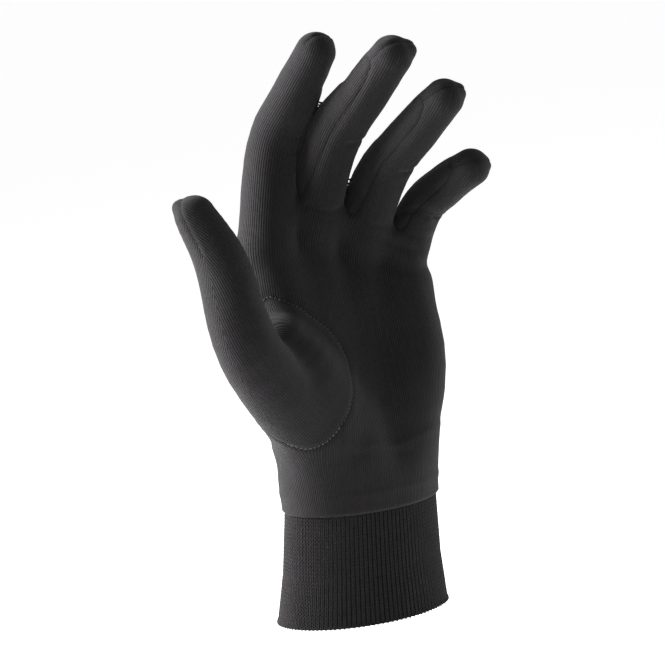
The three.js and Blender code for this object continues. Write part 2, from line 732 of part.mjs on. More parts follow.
const thumb = wholeOf(hand.intersect(thumbSpace(SEAM_GAP)));
const gaps = [0, 1, 2];
const fourchettes = gaps.map((gap) => wholeOf(hand.intersect(stripAfter(gap, SEAM_GAP))));
let trank = hand.subtract(thumbSpace(0));
for (const gap of gaps) {
  trank = trank.subtract(stripAfter(gap, 0));
}
const palmPanel = wholeOf(trank.subtract(backOf(SEAM_GAP)));
const backPanel = wholeOf(trank.intersect(backOf(0)));

// Joins the ends of edges shorter than a limit, which the cuts leave along the seams; a corner on a sharp
// edge keeps its place, and no facet may turn over or the surface meet itself.
function withoutShortEdges(made, limit) {
  const data = made.getMesh();
  const points = [];
  for (let i = 0; i < data.vertProperties.length; i += data.numProp) {
    points.push([...data.vertProperties.slice(i, i + 3)]);
  }
  let triangles = [];
  for (let i = 0; i < data.triVerts.length; i += 3) {
    triangles.push([...data.triVerts.slice(i, i + 3)]);
  }
  const minus = (a, b) => a.map((v, axis) => v - b[axis]);
  const cross = (a, b) => [a[1] * b[2] - a[2] * b[1], a[2] * b[0] - a[0] * b[2], a[0] * b[1] - a[1] * b[0]];
  const dot = (a, b) => a[0] * b[0] + a[1] * b[1] + a[2] * b[2];
  const facing = ([a, b, c]) => cross(minus(points[b], points[a]), minus(points[c], points[a]));
  const unit = (v) => v.map((c) => c / (Math.hypot(...v) + 1e-12));
  for (let round = 0; round < 4; round++) {
    const around = points.map(() => []);
    triangles.forEach((t, n) => t.forEach((v) => around[v].push(n)));
    const bothSides = (a, b) => around[a].filter((n) => triangles[n].includes(b));
    const isSharp = (a, b) => {
      const [m, n] = bothSides(a, b);
      return n === undefined || dot(unit(facing(triangles[m])), unit(facing(triangles[n]))) < 0.7;
    };
    const ringOf = (v) => new Set(around[v].flatMap((n) => triangles[n]).filter((w) => w !== v));
    const sharpEdgesAt = points.map((_, v) => [...ringOf(v)].filter((w) => isSharp(v, w)).length);
    const touched = new Set();
    const gone = new Set();
    const edges = triangles
      .flatMap(([a, b, c]) => [[a, b], [b, c], [c, a]])
      .filter(([a, b]) => a < b)
      .map(([a, b]) => ({ a, b, length: Math.hypot(...minus(points[a], points[b])) }))
      .filter((edge) => edge.length < limit)
      .sort((p, q) => p.length - q.length);
    for (const { a, b, length } of edges) {
      if (touched.has(a) || touched.has(b)) continue;
      const [keep, drop] = sharpEdgesAt[a] >= sharpEdgesAt[b] ? [a, b] : [b, a];
      const alongSeam = sharpEdgesAt[drop] === 2 && isSharp(a, b) && length < limit * SEAM_SHARE;
      if (sharpEdgesAt[drop] && !alongSeam) continue;
      const ringKeep = ringOf(keep);
      const ringDrop = ringOf(drop);
      if ([...ringDrop].filter((v) => ringKeep.has(v)).length !== 2) continue;
      const stays = around[drop].filter((n) => !triangles[n].includes(keep));
      const turned = (n) => triangles[n].map((v) => (v === drop ? keep : v));
      if (stays.some((n) => dot(unit(facing(triangles[n])), unit(facing(turned(n)))) < 0.8)) continue;
      for (const n of around[drop]) {
        if (triangles[n].includes(keep)) gone.add(n);
        else triangles[n] = turned(n);
      }
      for (const v of [...ringKeep, ...ringDrop]) touched.add(v);
    }
    triangles = triangles.filter((_, n) => !gone.has(n));
  }
  const placeOf = (v) => points[v].map((c) => Math.round(c * 1000)).join();
  const kept = new Map(triangles.flat().map((v) => [placeOf(v), v]));
  const places = [...kept.keys()];
  const index = new Map(places.map((place, n) => [place, n]));
  const placed = triangles.map((t) => t.map((v) => index.get(placeOf(v))));
  const merged = placed.filter((t) => new Set(t).size === 3);
  return wholeOf(solid(places.map((place) => points[kept.get(place)]), merged));
}

const cloth = new THREE.MeshStandardMaterial({ color: 0x2d2b2c, roughness: 0.9 });
const ribCloth = new THREE.MeshStandardMaterial({ color: 0x302e2f, roughness: 0.95 });

function meshOf(name, made, material) {
  const data = withoutShortEdges(made, SHORTEST_EDGE).getMesh();
  const geometry = new THREE.BufferGeometry();
  geometry.setAttribute("position", new THREE.BufferAttribute(new Float32Array(data.vertProperties), 3));
  geometry.setIndex(new THREE.BufferAttribute(new Uint32Array(data.triVerts), 1));
  geometry.computeVertexNormals();
  const mesh = new THREE.Mesh(geometry, material);
  mesh.name = name;
  return mesh;
}

const glove = new THREE.Group();
glove.name = "glove_liner";
glove.add(meshOf("palm_panel", palmPanel, cloth));
glove.add(meshOf("back_panel", backPanel, cloth));
glove.add(meshOf("thumb", thumb, cloth));
["index_middle", "middle_ring", "ring_little"].forEach((between, i) => {
  glove.add(meshOf("fourchette_" + between, fourchettes[i], cloth));
});
glove.add(meshOf("rib_cuff", ribbedCuff(), ribCloth));

export default glove;
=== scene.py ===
"""Left-hand knitted liner glove: jersey panels sewn round a relaxed hand's form, and a ribbed cuff.

Sizes are in millimetres in the part's own frame and become metres where a mesh is made.
"""

import logging
import math
from collections.abc import Callable
from dataclasses import dataclass, field
from enum import Enum, IntEnum

import bpy
import numpy as np
from mathutils import Matrix, Vector, noise


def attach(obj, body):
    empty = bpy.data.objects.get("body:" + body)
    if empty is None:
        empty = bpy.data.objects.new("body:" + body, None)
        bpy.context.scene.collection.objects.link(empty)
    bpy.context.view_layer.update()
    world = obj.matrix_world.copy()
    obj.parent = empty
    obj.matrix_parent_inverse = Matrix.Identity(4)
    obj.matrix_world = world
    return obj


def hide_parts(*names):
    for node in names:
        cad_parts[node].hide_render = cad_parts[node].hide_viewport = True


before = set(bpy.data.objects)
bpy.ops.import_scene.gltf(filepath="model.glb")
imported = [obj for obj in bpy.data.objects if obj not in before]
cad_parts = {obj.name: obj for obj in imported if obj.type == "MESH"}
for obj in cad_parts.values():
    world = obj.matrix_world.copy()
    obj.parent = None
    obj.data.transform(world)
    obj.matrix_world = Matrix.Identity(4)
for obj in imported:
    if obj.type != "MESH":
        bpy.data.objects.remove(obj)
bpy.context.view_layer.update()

LOG = logging.getLogger("glove_liner")
MM = 0.001


class Limb(IntEnum):
    """The hand's limbs in the order of its tables."""

    INDEX = 0
    MIDDLE = 1
    RING = 2
    LITTLE = 3
    THUMB = 4


class Panel(Enum):
    """The sewn pieces of the body, as marks on its faces."""

    FRONT = 0
    BACK = 1
    THUMB_FRONT = 2
    THUMB_BACK = 3
    INDEX_MIDDLE = 4
    MIDDLE_RING = 5
    RING_LITTLE = 6
    BELOW_HEM = 7


@dataclass(frozen=True)
class Finger:
    """One finger: its sizes, its place on the palm, its joints' bends and its bones.

    across, back and up are shares of the palm's width, thickness and length. lean and bends are degrees.
    bones are shares of the length, and radii, at the knuckle, two joints and tip, of the width.
    """

    length: float
    width: float
    across: float
    back: float
    up: float
    lean: float
    bends: tuple[float, float, float]
    bones: tuple[float, float, float]
    radii: tuple[float, float, float, float]


@dataclass(frozen=True)
class Ball:
    """A point of a limb in shares of the palm: across, out and up, and its radius by the thickness."""

    across: float
    out: float
    up: float
    radius: float


@dataclass(frozen=True)
class Bone:
    """A bone of the thumb: share of its length, the way it points, and far radius by the width."""

    share: float
    side: float
    out: float
    up: float
    radius: float


@dataclass(frozen=True)
class Dent:
    """A broad dent of the cloth, in shares of the palm; reach and depth are shares of its thickness."""

    across: float
    out: float
    up: float
    reach: float
    depth: float


@dataclass(frozen=True)
class Fullness:
    """Cloth that stands off one side of a finger between two shares, sideways and out in millimetres."""

    limb: Limb
    side: int
    start: float
    end: float
    offset: float
    out: float


@dataclass(frozen=True)
class Corner:
    """The corner that a seam's end makes at a fingertip: its place from the tip's middle, and radius."""

    limb: Limb
    side: float
    out: float
    along: float
    radius: float


@dataclass(frozen=True)
class HandSizes:
    """Driving sizes of the hand that the cloth follows."""

    cuff_height: float = 46
    wrist_rise: float = 20
    wrist_half_width: float = 36.5
    wrist_half_depth: float = 24.5
    wrist_shift: float = 2.5
    wrist_taper_width: float = 0.1
    wrist_taper_depth: float = 0.28
    hem_depth: float = 8
    hem_ridge: float = 0.25
    hem_ridge_width: float = 1.5
    palm_length: float = 87
    palm_width: float = 66
    palm_thickness: float = 30
    wrist_bend: float = 11
    wrist_lean: float = 6
    web_reach: float = 15
    web_thickness: float = 17
    thumb_length: float = 119.5
    thumb_width: float = 22
    round_bones: float = 10
    round_wrist: float = 14
    round_webs: float = 4
    round_thumb: float = 9
    round_fingers: float = 3
    round_sides: float = 1.2
    fingers: tuple[Finger, ...] = (
        Finger(
            98.3, 21, -0.502, 0.07, 0.99, 8,
            (5.1, 33, 4.7), (0.4446, 0.2533, 0.2167), (0.557, 0.5, 0.453, 0.396),
        ),
        Finger(
            106, 20.8, -0.179, 0.1, 1, 4.3,
            (28.8, 22.4, 6.7), (0.4235, 0.2864, 0.208), (0.56, 0.5, 0.47, 0.41),
        ),
        Finger(
            100, 20.2, 0.173, 0.03, 0.943, -0.2,
            (40.1, 19.3, 5.2), (0.43, 0.286, 0.202), (0.556, 0.5, 0.465, 0.4),
        ),
        Finger(
            76, 18.4, 0.455, -0.13, 0.85, 4,
            (36.3, 28.9, 9.5), (0.413, 0.2595, 0.2256), (0.576, 0.5, 0.473, 0.424),
        ),
    )
    ray_feet: tuple[float, ...] = (-0.23, -0.08, 0.08, 0.26)
    ray_radii: tuple[tuple[float, float, float], ...] = (
        (0.58, 0.5, 0.4),
        (0.6, 0.53, 0.4),
        (0.6, 0.53, 0.4),
        (0.56, 0.51, 0.38),
    )
    pads: tuple[tuple[Ball, Ball, Ball], ...] = (
        (Ball(-0.17, 0.2, 0.09, 0.5), Ball(-0.44, 0.38, 0.36, 0.48), Ball(-0.6, 0.34, 0.53, 0.4)),
        (Ball(0.32, 0.17, 0.07, 0.5), Ball(0.45, 0.27, 0.4, 0.5), Ball(0.48, 0.2, 0.78, 0.4)),
    )
    thumb_root: Ball = Ball(-0.4, 0.24, 0.12, 0.69)
    thumb_bones: tuple[Bone, ...] = (
        Bone(0.442, 0.65, 0.17, 0.74, 0.6),
        Bone(0.303, 0.17, -0.16, 0.97, 0.49),
        Bone(0.189, 0.29, -0.3, 0.9, 0.375),
    )
    dents: tuple[Dent, ...] = (
        Dent(0.05, 0.62, 0.52, 0.6, 0.05),
        Dent(0.1, 0.62, -0.02, 0.35, 0.035),
        Dent(0.46, 0, -0.2, 0.4, -0.04),
    )
    fullness: tuple[Fullness, ...] = (
        Fullness(Limb.INDEX, 1, 0.1, 0.72, 1.4, 2.2),
        Fullness(Limb.MIDDLE, -1, 0.08, 0.6, 1.15, -3.2),
        Fullness(Limb.RING, -1, 0.08, 0.42, 0.7, -2.2),
    )
    corners: tuple[Corner, ...] = (
        Corner(Limb.INDEX, 3.5, 0, 5.3, 2.4),
        Corner(Limb.INDEX, -3.4, -1, 5, 2.4),
        Corner(Limb.MIDDLE, 4.5, 0.4, 4, 4.5),
        Corner(Limb.MIDDLE, -3.8, -1, 4.2, 2.6),
        Corner(Limb.RING, 4, -0.3, 3.4, 4.1),
        Corner(Limb.RING, -3.6, -0.9, 3.9, 2.6),
        Corner(Limb.LITTLE, 4.3, 0.2, 3.7, 2.7),
        Corner(Limb.LITTLE, -3.3, -0.8, 3.7, 2.5),
        Corner(Limb.THUMB, -2.8, -2.9, 6.3, 2.3),
    )


@dataclass(frozen=True)
class SeamSizes:
    """Where the seams run: the thumb's oval and the strips between the fingers."""

    thumb_centre: Ball = Ball(-0.455, 0.2, 0.402, 0)
    thumb_facing: tuple[float, float, float] = (-0.75, -0.45, 0.48)
    thumb_turns: tuple[float, ...] = (0, 40, 70, 88, 104, 120, 139, 158, 180, 206, 232, 254, 268, 285, 320)
    thumb_tilts: tuple[float, ...] = (18, 27, 32, 30, 17, -3, -20, -26.5, -20.5, -11.5, -3, 3, 12, 20, 20)
    thumb_reach: float = 20
    crotch_reach: float = 14
    crotch_fade: tuple[float, float] = (34, 48)
    thumb_line_way: tuple[float, float, float] = (-0.92, -0.37, 0)
    strip_width: float = 12.5
    strip_set_back: float = 0.9
    strip_foot_round: float = 3
    strip_head_round: float = 1
    tip_fade: tuple[float, float] = (-2, 7)
    inner_fade: tuple[float, float] = (-0.3, 0.3)
    wrist_fade: tuple[float, float] = (8, 30)
    strip_shares: tuple[float, ...] = (0.15, 0.2, 0.27, 0.38, 0.5, 0.65, 0.8, 0.93)
    strip_widths: tuple[float, ...] = (0.7, 0.85, 1, 1, 1, 0.95, 0.85, 0.35)
    groove_depth: float = 0.34
    groove_width: float = 0.6
    thumb_line_from: float = 0.75
    thumb_line_faintness: float = 0.45
    ridge_height: float = 0.12
    ridge_width: float = 0.8
    ridge_place: float = 2.2


@dataclass(frozen=True)
class Crease:
    """A crease across a limb: share along it, angle from the palm side, half span, depth, width."""

    limb: Limb
    share: float
    angle: float
    span: float
    depth: float
    width: float
    slant: float = 0


@dataclass(frozen=True)
class ClothSizes:
    """The jersey's own sizes: wall, knit and the mesh that carries them."""

    thickness: float = 1.4
    wale: float = 0.96
    course: float = 0.75
    mesh_step: float = 1.05
    fold_height: float = 0.22
    fold_length: float = 13
    hem_roll: float = 1.3
    hem_roundness: float = 0.7


@dataclass(frozen=True)
class Fold:
    """A crease of the palm side along places in shares of the palm's width and length."""

    places: tuple[tuple[float, float], ...]
    depth: float
    width: float


FOLDS = (
    Fold(((-0.32, 1.2), (-0.25, 1.165), (-0.155, 1.15), (-0.02, 1.185)), 0.9, 1.3),
    Fold(((-0.3, 1.15), (-0.2, 1.115), (-0.09, 1.125)), 0.5, 1.2),
    Fold(((-0.01, 1.16), (0.03, 1.11), (0.1, 1.075), (0.26, 1.06)), 1.0, 1.4),
    Fold(((-0.01, 1.105), (0.09, 1.04), (0.23, 1), (0.355, 0.965), (0.52, 0.915)), 1.3, 1.7),
    Fold(((0.32, 1.14), (0.38, 1.128), (0.45, 1.1), (0.55, 1.06)), 0.7, 1.2),
    Fold(((-0.32, -0.007), (-0.06, -0.012), (0.28, -0.012)), 0.18, 1.8),
)

CREASES = (
    Crease(Limb.LITTLE, 0.24, -5, 60, 0.4, 1.4),
    Crease(Limb.INDEX, 0.46, 20, 55, 0.45, 1.6, 2),
    Crease(Limb.MIDDLE, 0.44, 30, 60, 0.6, 1.7, 2),
    Crease(Limb.RING, 0.44, 30, 60, 0.6, 1.7, 2),
    Crease(Limb.LITTLE, 0.42, 20, 70, 0.6, 1.4, 2),
    Crease(Limb.LITTLE, 0.48, 20, 60, 0.4, 1.2, 2),
)


def unit(v: np.ndarray) -> np.ndarray:
    """Vectors scaled to length one along the last axis."""
    return v / np.maximum(np.linalg.norm(v, axis=-1, keepdims=True), 1e-12)


def curve_through(
    a: np.ndarray, b: np.ndarray, c: np.ndarray, d: np.ndarray, t: np.ndarray | float
) -> np.ndarray:
    """A Catmull-Rom curve between two values.

    Args:
        a: The value before b.
        b: Where the curve starts.
        c: Where it ends.
        d: The value after c.
        t: How far along it is, between 0 and 1.

    Returns:
        The value on the curve.
    """
    bend = (2 * a - 5 * b + 4 * c - d) * t**2
    return 0.5 * (2 * b + (c - a) * t + bend + (3 * b - a - 3 * c + d) * t**3)


def smooth_row(points: np.ndarray, radii: np.ndarray, steps: int) -> tuple[np.ndarray, np.ndarray]:
    """Rounds a row of balls off with a curve through them.

    Args:
        points: Centres, one row each.
        radii: Their radii.
        steps: Pieces between two balls.

    Returns:
        The finer centres and radii.
    """
    row = np.column_stack([points, radii])
    row = np.vstack([2 * row[0] - row[1], row, 2 * row[-1] - row[-2]])
    made = []
    for i in range(1, len(row) - 2):
        made += [curve_through(*row[i - 1 : i + 3], t) for t in np.arange(steps) / steps]
    made = np.array([*made, row[-2]])
    return made[:, :3], made[:, 3]


def smooth_union(a: np.ndarray, b: np.ndarray, reach: float) -> np.ndarray:
    """The lesser of two distances, rounded where they are within reach of each other."""
    overlap = np.maximum(reach - np.abs(a - b), 0) / reach
    return np.minimum(a, b) - overlap * overlap * reach * 0.25


def ramp(x: np.ndarray, start: float, end: float) -> np.ndarray:
    """Rises smoothly from 0 at start to 1 at end."""
    t = np.clip((x - start) / (end - start), 0, 1)
    return t * t * (3 - 2 * t)


class Row:
    """A limb as a row of balls joined by cones."""

    FAR = 1e3
    MARGIN = 24.0

    def __init__(self, points: np.ndarray, radii: np.ndarray, steps: int) -> None:
        """Keeps the smoothed row and its directions.

        Args:
            points: The balls' centres.
            radii: Their radii.
            steps: Pieces between two balls.
        """
        self.points, self.radii = smooth_row(np.array(points), np.array(radii), steps)
        self.ways = unit(np.gradient(self.points, axis=0))
        self.low = self.points.min(0) - self.radii.max() - self.MARGIN
        self.high = self.points.max(0) + self.radii.max() + self.MARGIN

    def measure(self, places: np.ndarray, whole: bool = False) -> tuple[np.ndarray, np.ndarray]:
        """Distance to the row's skin and the place along it.

        Args:
            places: Points, one row each.
            whole: Whether far points are measured too.

        Returns:
            Distances, and shares of the way along the row.
        """
        distance = np.full(len(places), self.FAR)
        along = np.zeros(len(places))
        near = whole | ((places > self.low) & (places < self.high)).all(1)
        p = places[near]
        best = np.full(len(p), self.FAR)
        place = np.zeros(len(p))
        for i in range(len(self.points) - 1):
            bone = self.points[i + 1] - self.points[i]
            rel = p - self.points[i]
            t = np.clip(rel @ bone / (bone @ bone), 0, 1)
            away = np.sqrt(((rel - t[:, None] * bone) ** 2).sum(1))
            away -= self.radii[i] + t * (self.radii[i + 1] - self.radii[i])
            closer = away < best
            best[closer] = away[closer]
            place[closer] = i + t[closer]
        distance[near] = best
        along[near] = place / (len(self.points) - 1)
        return distance, along

    def at(self, share: np.ndarray) -> tuple[np.ndarray, np.ndarray, np.ndarray]:
        """Looks up the row at shares of the way along it.

        Args:
            share: Shares of the way.

        Returns:
            Centres, directions and radii.
        """
        place = np.clip(share, 0, 1) * (len(self.points) - 1)
        i = np.minimum(place.astype(int), len(self.points) - 2)
        t = (place - i)[:, None]
        centre = self.points[i] * (1 - t) + self.points[i + 1] * t
        way = unit(self.ways[i] * (1 - t) + self.ways[i + 1] * t)
        radius = self.radii[i] * (1 - t[:, 0]) + self.radii[i + 1] * t[:, 0]
        return centre, way, radius


@dataclass
class Hand:
    """The relaxed hand's form that the cloth is stretched over."""

    sizes: HandSizes = field(default_factory=HandSizes)

    def __post_init__(self) -> None:
        """Works out the palm's axes and the rows of every limb."""
        s = self.sizes
        bend, lean = math.radians(s.wrist_bend), math.radians(s.wrist_lean)
        self.wrist = np.array([0, 0, s.cuff_height + s.wrist_rise])
        level = math.cos(bend)
        self.up = np.array([math.sin(lean) * level, math.sin(bend), math.cos(lean) * level])
        self.across = np.array([math.cos(lean), 0, -math.sin(lean)])
        self.back = np.cross(self.up, self.across)
        self.fingers = [self._finger_row(f) for f in s.fingers]
        self.rays = [self._ray_row(i) for i in range(len(s.fingers))]
        self.pads = [self._pad_row(pad) for pad in s.pads]
        self.webs = [self._web_row(i) for i in range(len(s.fingers) - 1)]
        self.thumb = self._thumb_row()
        self.sides = [self._side_row(full) for full in s.fullness]
        self.corners = [self._corner_row(corner) for corner in s.corners]

    def in_palm(self, across: float, back: float, up: float) -> np.ndarray:
        """A point given in shares of the palm.

        Args:
            across: Share of its width.
            back: Share of its thickness.
            up: Share of its length.

        Returns:
            The point.
        """
        s = self.sizes
        place = self.wrist + across * s.palm_width * self.across
        return place + back * s.palm_thickness * self.back + up * s.palm_length * self.up

    def _joints(self, finger: Finger) -> tuple[np.ndarray, np.ndarray]:
        """Follows a finger's bones.

        Args:
            finger: The finger.

        Returns:
            The centres and radii of its joints.
        """
        lean = math.radians(finger.lean)
        along = math.sin(lean) * self.across + math.cos(lean) * self.up
        points = [self.in_palm(finger.across, finger.back, finger.up)]
        turn = 0.0
        for bend, share in zip(finger.bends, finger.bones):
            turn += math.radians(bend)
            way = math.cos(turn) * along - math.sin(turn) * self.back
            points.append(points[-1] + share * finger.length * way)
        return np.array(points), np.array(finger.radii) * finger.width

    def _finger_row(self, finger: Finger) -> Row:
        """A finger's smooth row."""
        return Row(*self._joints(finger), 6)

    def _ray_row(self, i: int) -> Row:
        """The bone of the palm that leads to a finger.

        Args:
            i: The finger's number.

        Returns:
            The bone's row.
        """
        f, s = self.sizes.fingers[i], self.sizes
        foot = s.ray_feet[i]
        points = [
            self.in_palm(foot, 0, -0.04),
            self.in_palm((foot + f.across) / 2, f.back / 2, f.up / 2),
            self.in_palm(f.across, f.back, f.up),
        ]
        return Row(points, np.array(s.ray_radii[i]) * s.palm_thickness, 4)

    def _pad_row(self, pad: tuple[Ball, ...]) -> Row:
        """A soft pad of the palm."""
        points = [self.in_palm(b.across, -b.out, b.up) for b in pad]
        return Row(points, np.array([b.radius for b in pad]) * self.sizes.palm_thickness, 4)

    def _web_row(self, i: int) -> Row:
        """The web between two neighbouring fingers.

        Args:
            i: The first finger's number.

        Returns:
            The web's row.
        """
        ends = []
        for finger in self.sizes.fingers[i : i + 2]:
            points, _ = self._joints(finger)
            ends.append(points[0] + self.sizes.web_reach * unit(points[1] - points[0]))
        return Row(ends, np.full(2, self.sizes.web_thickness / 2), 1)

    def _thumb_row(self) -> Row:
        """Follows the thumb's bones from its root in the palm.

        Returns:
            The thumb's smooth row.
        """
        s = self.sizes
        points = [self.in_palm(s.thumb_root.across, -s.thumb_root.out, s.thumb_root.up)]
        radii = [s.thumb_root.radius * s.thumb_width]
        for bone in s.thumb_bones:
            way = unit(np.array([-bone.side, -bone.out, bone.up]))
            points.append(points[-1] + bone.share * s.thumb_length * way)
            radii.append(bone.radius * s.thumb_width)
        return Row(points, radii, 6)

    def _frame(
        self, limb: Limb, share: np.ndarray
    ) -> tuple[np.ndarray, np.ndarray, np.ndarray, np.ndarray, np.ndarray]:
        """A limb's own directions at shares along it.

        Args:
            limb: The limb.
            share: Shares of the way along it.

        Returns:
            Its centre, side, palm side, direction and radius.
        """
        centre, way, radius = [*self.fingers, self.thumb][limb].at(share)
        side = unit(self.across - (way @ self.across)[:, None] * way)
        return centre, side, np.cross(side, way), way, radius

    def _side_row(self, full: Fullness) -> Row:
        """The row of the cloth that stands off one side of a finger.

        Args:
            full: Where and how far it stands off.

        Returns:
            The cloth's row.
        """
        balls, inset, first, span = 6, 1.2, 0.12, 0.76
        share = np.linspace(full.start, full.end, balls)
        centre, side, out, _, radius = self._frame(full.limb, share)
        rise = np.sin(np.pi * (first + span * np.arange(balls) / (balls - 1)))[:, None]
        away = full.side * (full.offset * rise + inset) * side + full.out * rise * out
        return Row(centre + away, radius - inset, 1)

    def _corner_row(self, corner: Corner) -> Row:
        """The short row from a fingertip's middle to one of its corners.

        Args:
            corner: The corner.

        Returns:
            The corner's row.
        """
        centre, side, out, way, radius = (v[0] for v in self._frame(corner.limb, np.array([1.0])))
        place = centre + corner.side * side + corner.out * out + corner.along * way
        middle_share = 0.7
        return Row([centre, place], [middle_share * radius, corner.radius], 1)

    def _wrist_distance(self, p: np.ndarray) -> np.ndarray:
        """Distance to the oval tube of the wrist.

        Args:
            p: Points in millimetres, one row each.

        Returns:
            The distances, below zero inside.
        """
        s, taper_end, hems_below = self.sizes, 1.3, 2.5
        share = np.clip((p[:, 2] - s.cuff_height) / s.wrist_rise, 0, taper_end)
        width = s.wrist_half_width * (1 - s.wrist_taper_width * share)
        depth = s.wrist_half_depth * (1 - s.wrist_taper_depth * share)
        across = p[:, 0] - s.wrist_shift
        nearest = np.maximum(np.hypot(across / width, p[:, 1] / depth), 1e-6)
        slope = np.hypot(across / width**2, p[:, 1] / depth**2)
        side = nearest * (nearest - 1) / np.maximum(slope, 1e-9)
        top = p[:, 2] - (s.cuff_height + s.wrist_rise)
        bottom = s.cuff_height - hems_below * s.hem_depth - p[:, 2]
        return np.maximum(np.maximum(side, top), bottom)

    def distance(self, p: np.ndarray) -> np.ndarray:
        """Distance to the cloth's outside.

        Args:
            p: Points in millimetres, one row each.

        Returns:
            The distances, below zero inside the glove.
        """
        s = self.sizes
        palm = np.full(len(p), Row.FAR)
        for row in [*self.rays, *self.pads]:
            palm = smooth_union(palm, row.measure(p)[0], s.round_bones)
        palm = smooth_union(palm, self._wrist_distance(p), s.round_wrist)
        for row in self.webs:
            palm = smooth_union(palm, row.measure(p)[0], s.round_webs)
        palm = smooth_union(palm, self.thumb.measure(p)[0], s.round_thumb)
        for dent in s.dents:
            spot = self.in_palm(dent.across, -dent.out, dent.up)
            far = np.linalg.norm(p - spot, axis=1) / (dent.reach * s.palm_thickness)
            palm += dent.depth * s.palm_thickness * np.exp(-2 * far * far)
        hem = (p[:, 2] - (s.cuff_height + s.hem_depth)) / s.hem_ridge_width
        palm -= s.hem_ridge * np.exp(-hem * hem)
        fingers = np.full(len(p), Row.FAR)
        for row in self.fingers:
            fingers = np.minimum(fingers, row.measure(p)[0])
        for row in [*self.sides, *self.corners]:
            fingers = smooth_union(fingers, row.measure(p)[0], s.round_sides)
        return smooth_union(palm, fingers, s.round_fingers)

    def slope(self, p: np.ndarray, step: float = 0.05) -> tuple[np.ndarray, np.ndarray]:
        """The distance and its gradient at points.

        Args:
            p: Points in millimetres, one row each.
            step: How far apart two distances are measured.

        Returns:
            The distances and their gradients.
        """
        here = self.distance(p)
        slope = np.empty_like(p)
        for axis in range(3):
            moved = p.copy()
            moved[:, axis] += step
            slope[:, axis] = (self.distance(moved) - here) / step
        return here, slope

    def settled(self, p: np.ndarray, rounds: int = 2) -> np.ndarray:
        """Points brought to the cloth's outside.

        Args:
            p: Points in millimetres, one row each.
            rounds: How often they are moved.

        Returns:
            The moved points.
        """
        for _ in range(rounds):
            here, slope = self.slope(p)
            steep = np.maximum((slope**2).sum(1), 0.25)
            p = p - (here / steep)[:, None] * slope
        return p

    def grain(self, p: np.ndarray) -> np.ndarray:
        """The way the knit's wales run in the body: up the palm and along each finger.

        Args:
            p: Points in millimetres, one row each.

        Returns:
            Directions of length one.
        """
        soft = 2.5
        rows = [row.measure(p, whole=True) for row in self.fingers]
        palm = np.min([row.measure(p, whole=True)[0] for row in [*self.rays, *self.pads]], axis=0)
        nearest = np.minimum(palm, np.min([d for d, _ in rows], axis=0))
        way = np.exp(-(palm - nearest) / soft)[:, None] * self.up
        for row, (distance, share) in zip(self.fingers, rows):
            way = way + np.exp(-(distance - nearest) / soft)[:, None] * row.at(share)[1]
        return unit(way)

    def in_limb(self, row: Row, p: np.ndarray) -> dict[str, np.ndarray]:
        """Points in a limb's own terms.

        Args:
            row: The limb's row.
            p: Points in millimetres, one row each.

        Returns:
            Distance, share, side and out coordinates, radius and angle, by name.
        """
        distance, share = row.measure(p, whole=True)
        centre, way, radius = row.at(share)
        side = unit(self.across - (way @ self.across)[:, None] * way)
        out = np.cross(side, way)
        rel = p - centre
        sideways, outwards = (rel * side).sum(1), (rel * out).sum(1)
        angle = np.degrees(np.arctan2(sideways, outwards))
        return {
            "distance": distance,
            "share": share,
            "side": sideways,
            "out": outwards,
            "radius": radius,
            "angle": angle,
        }


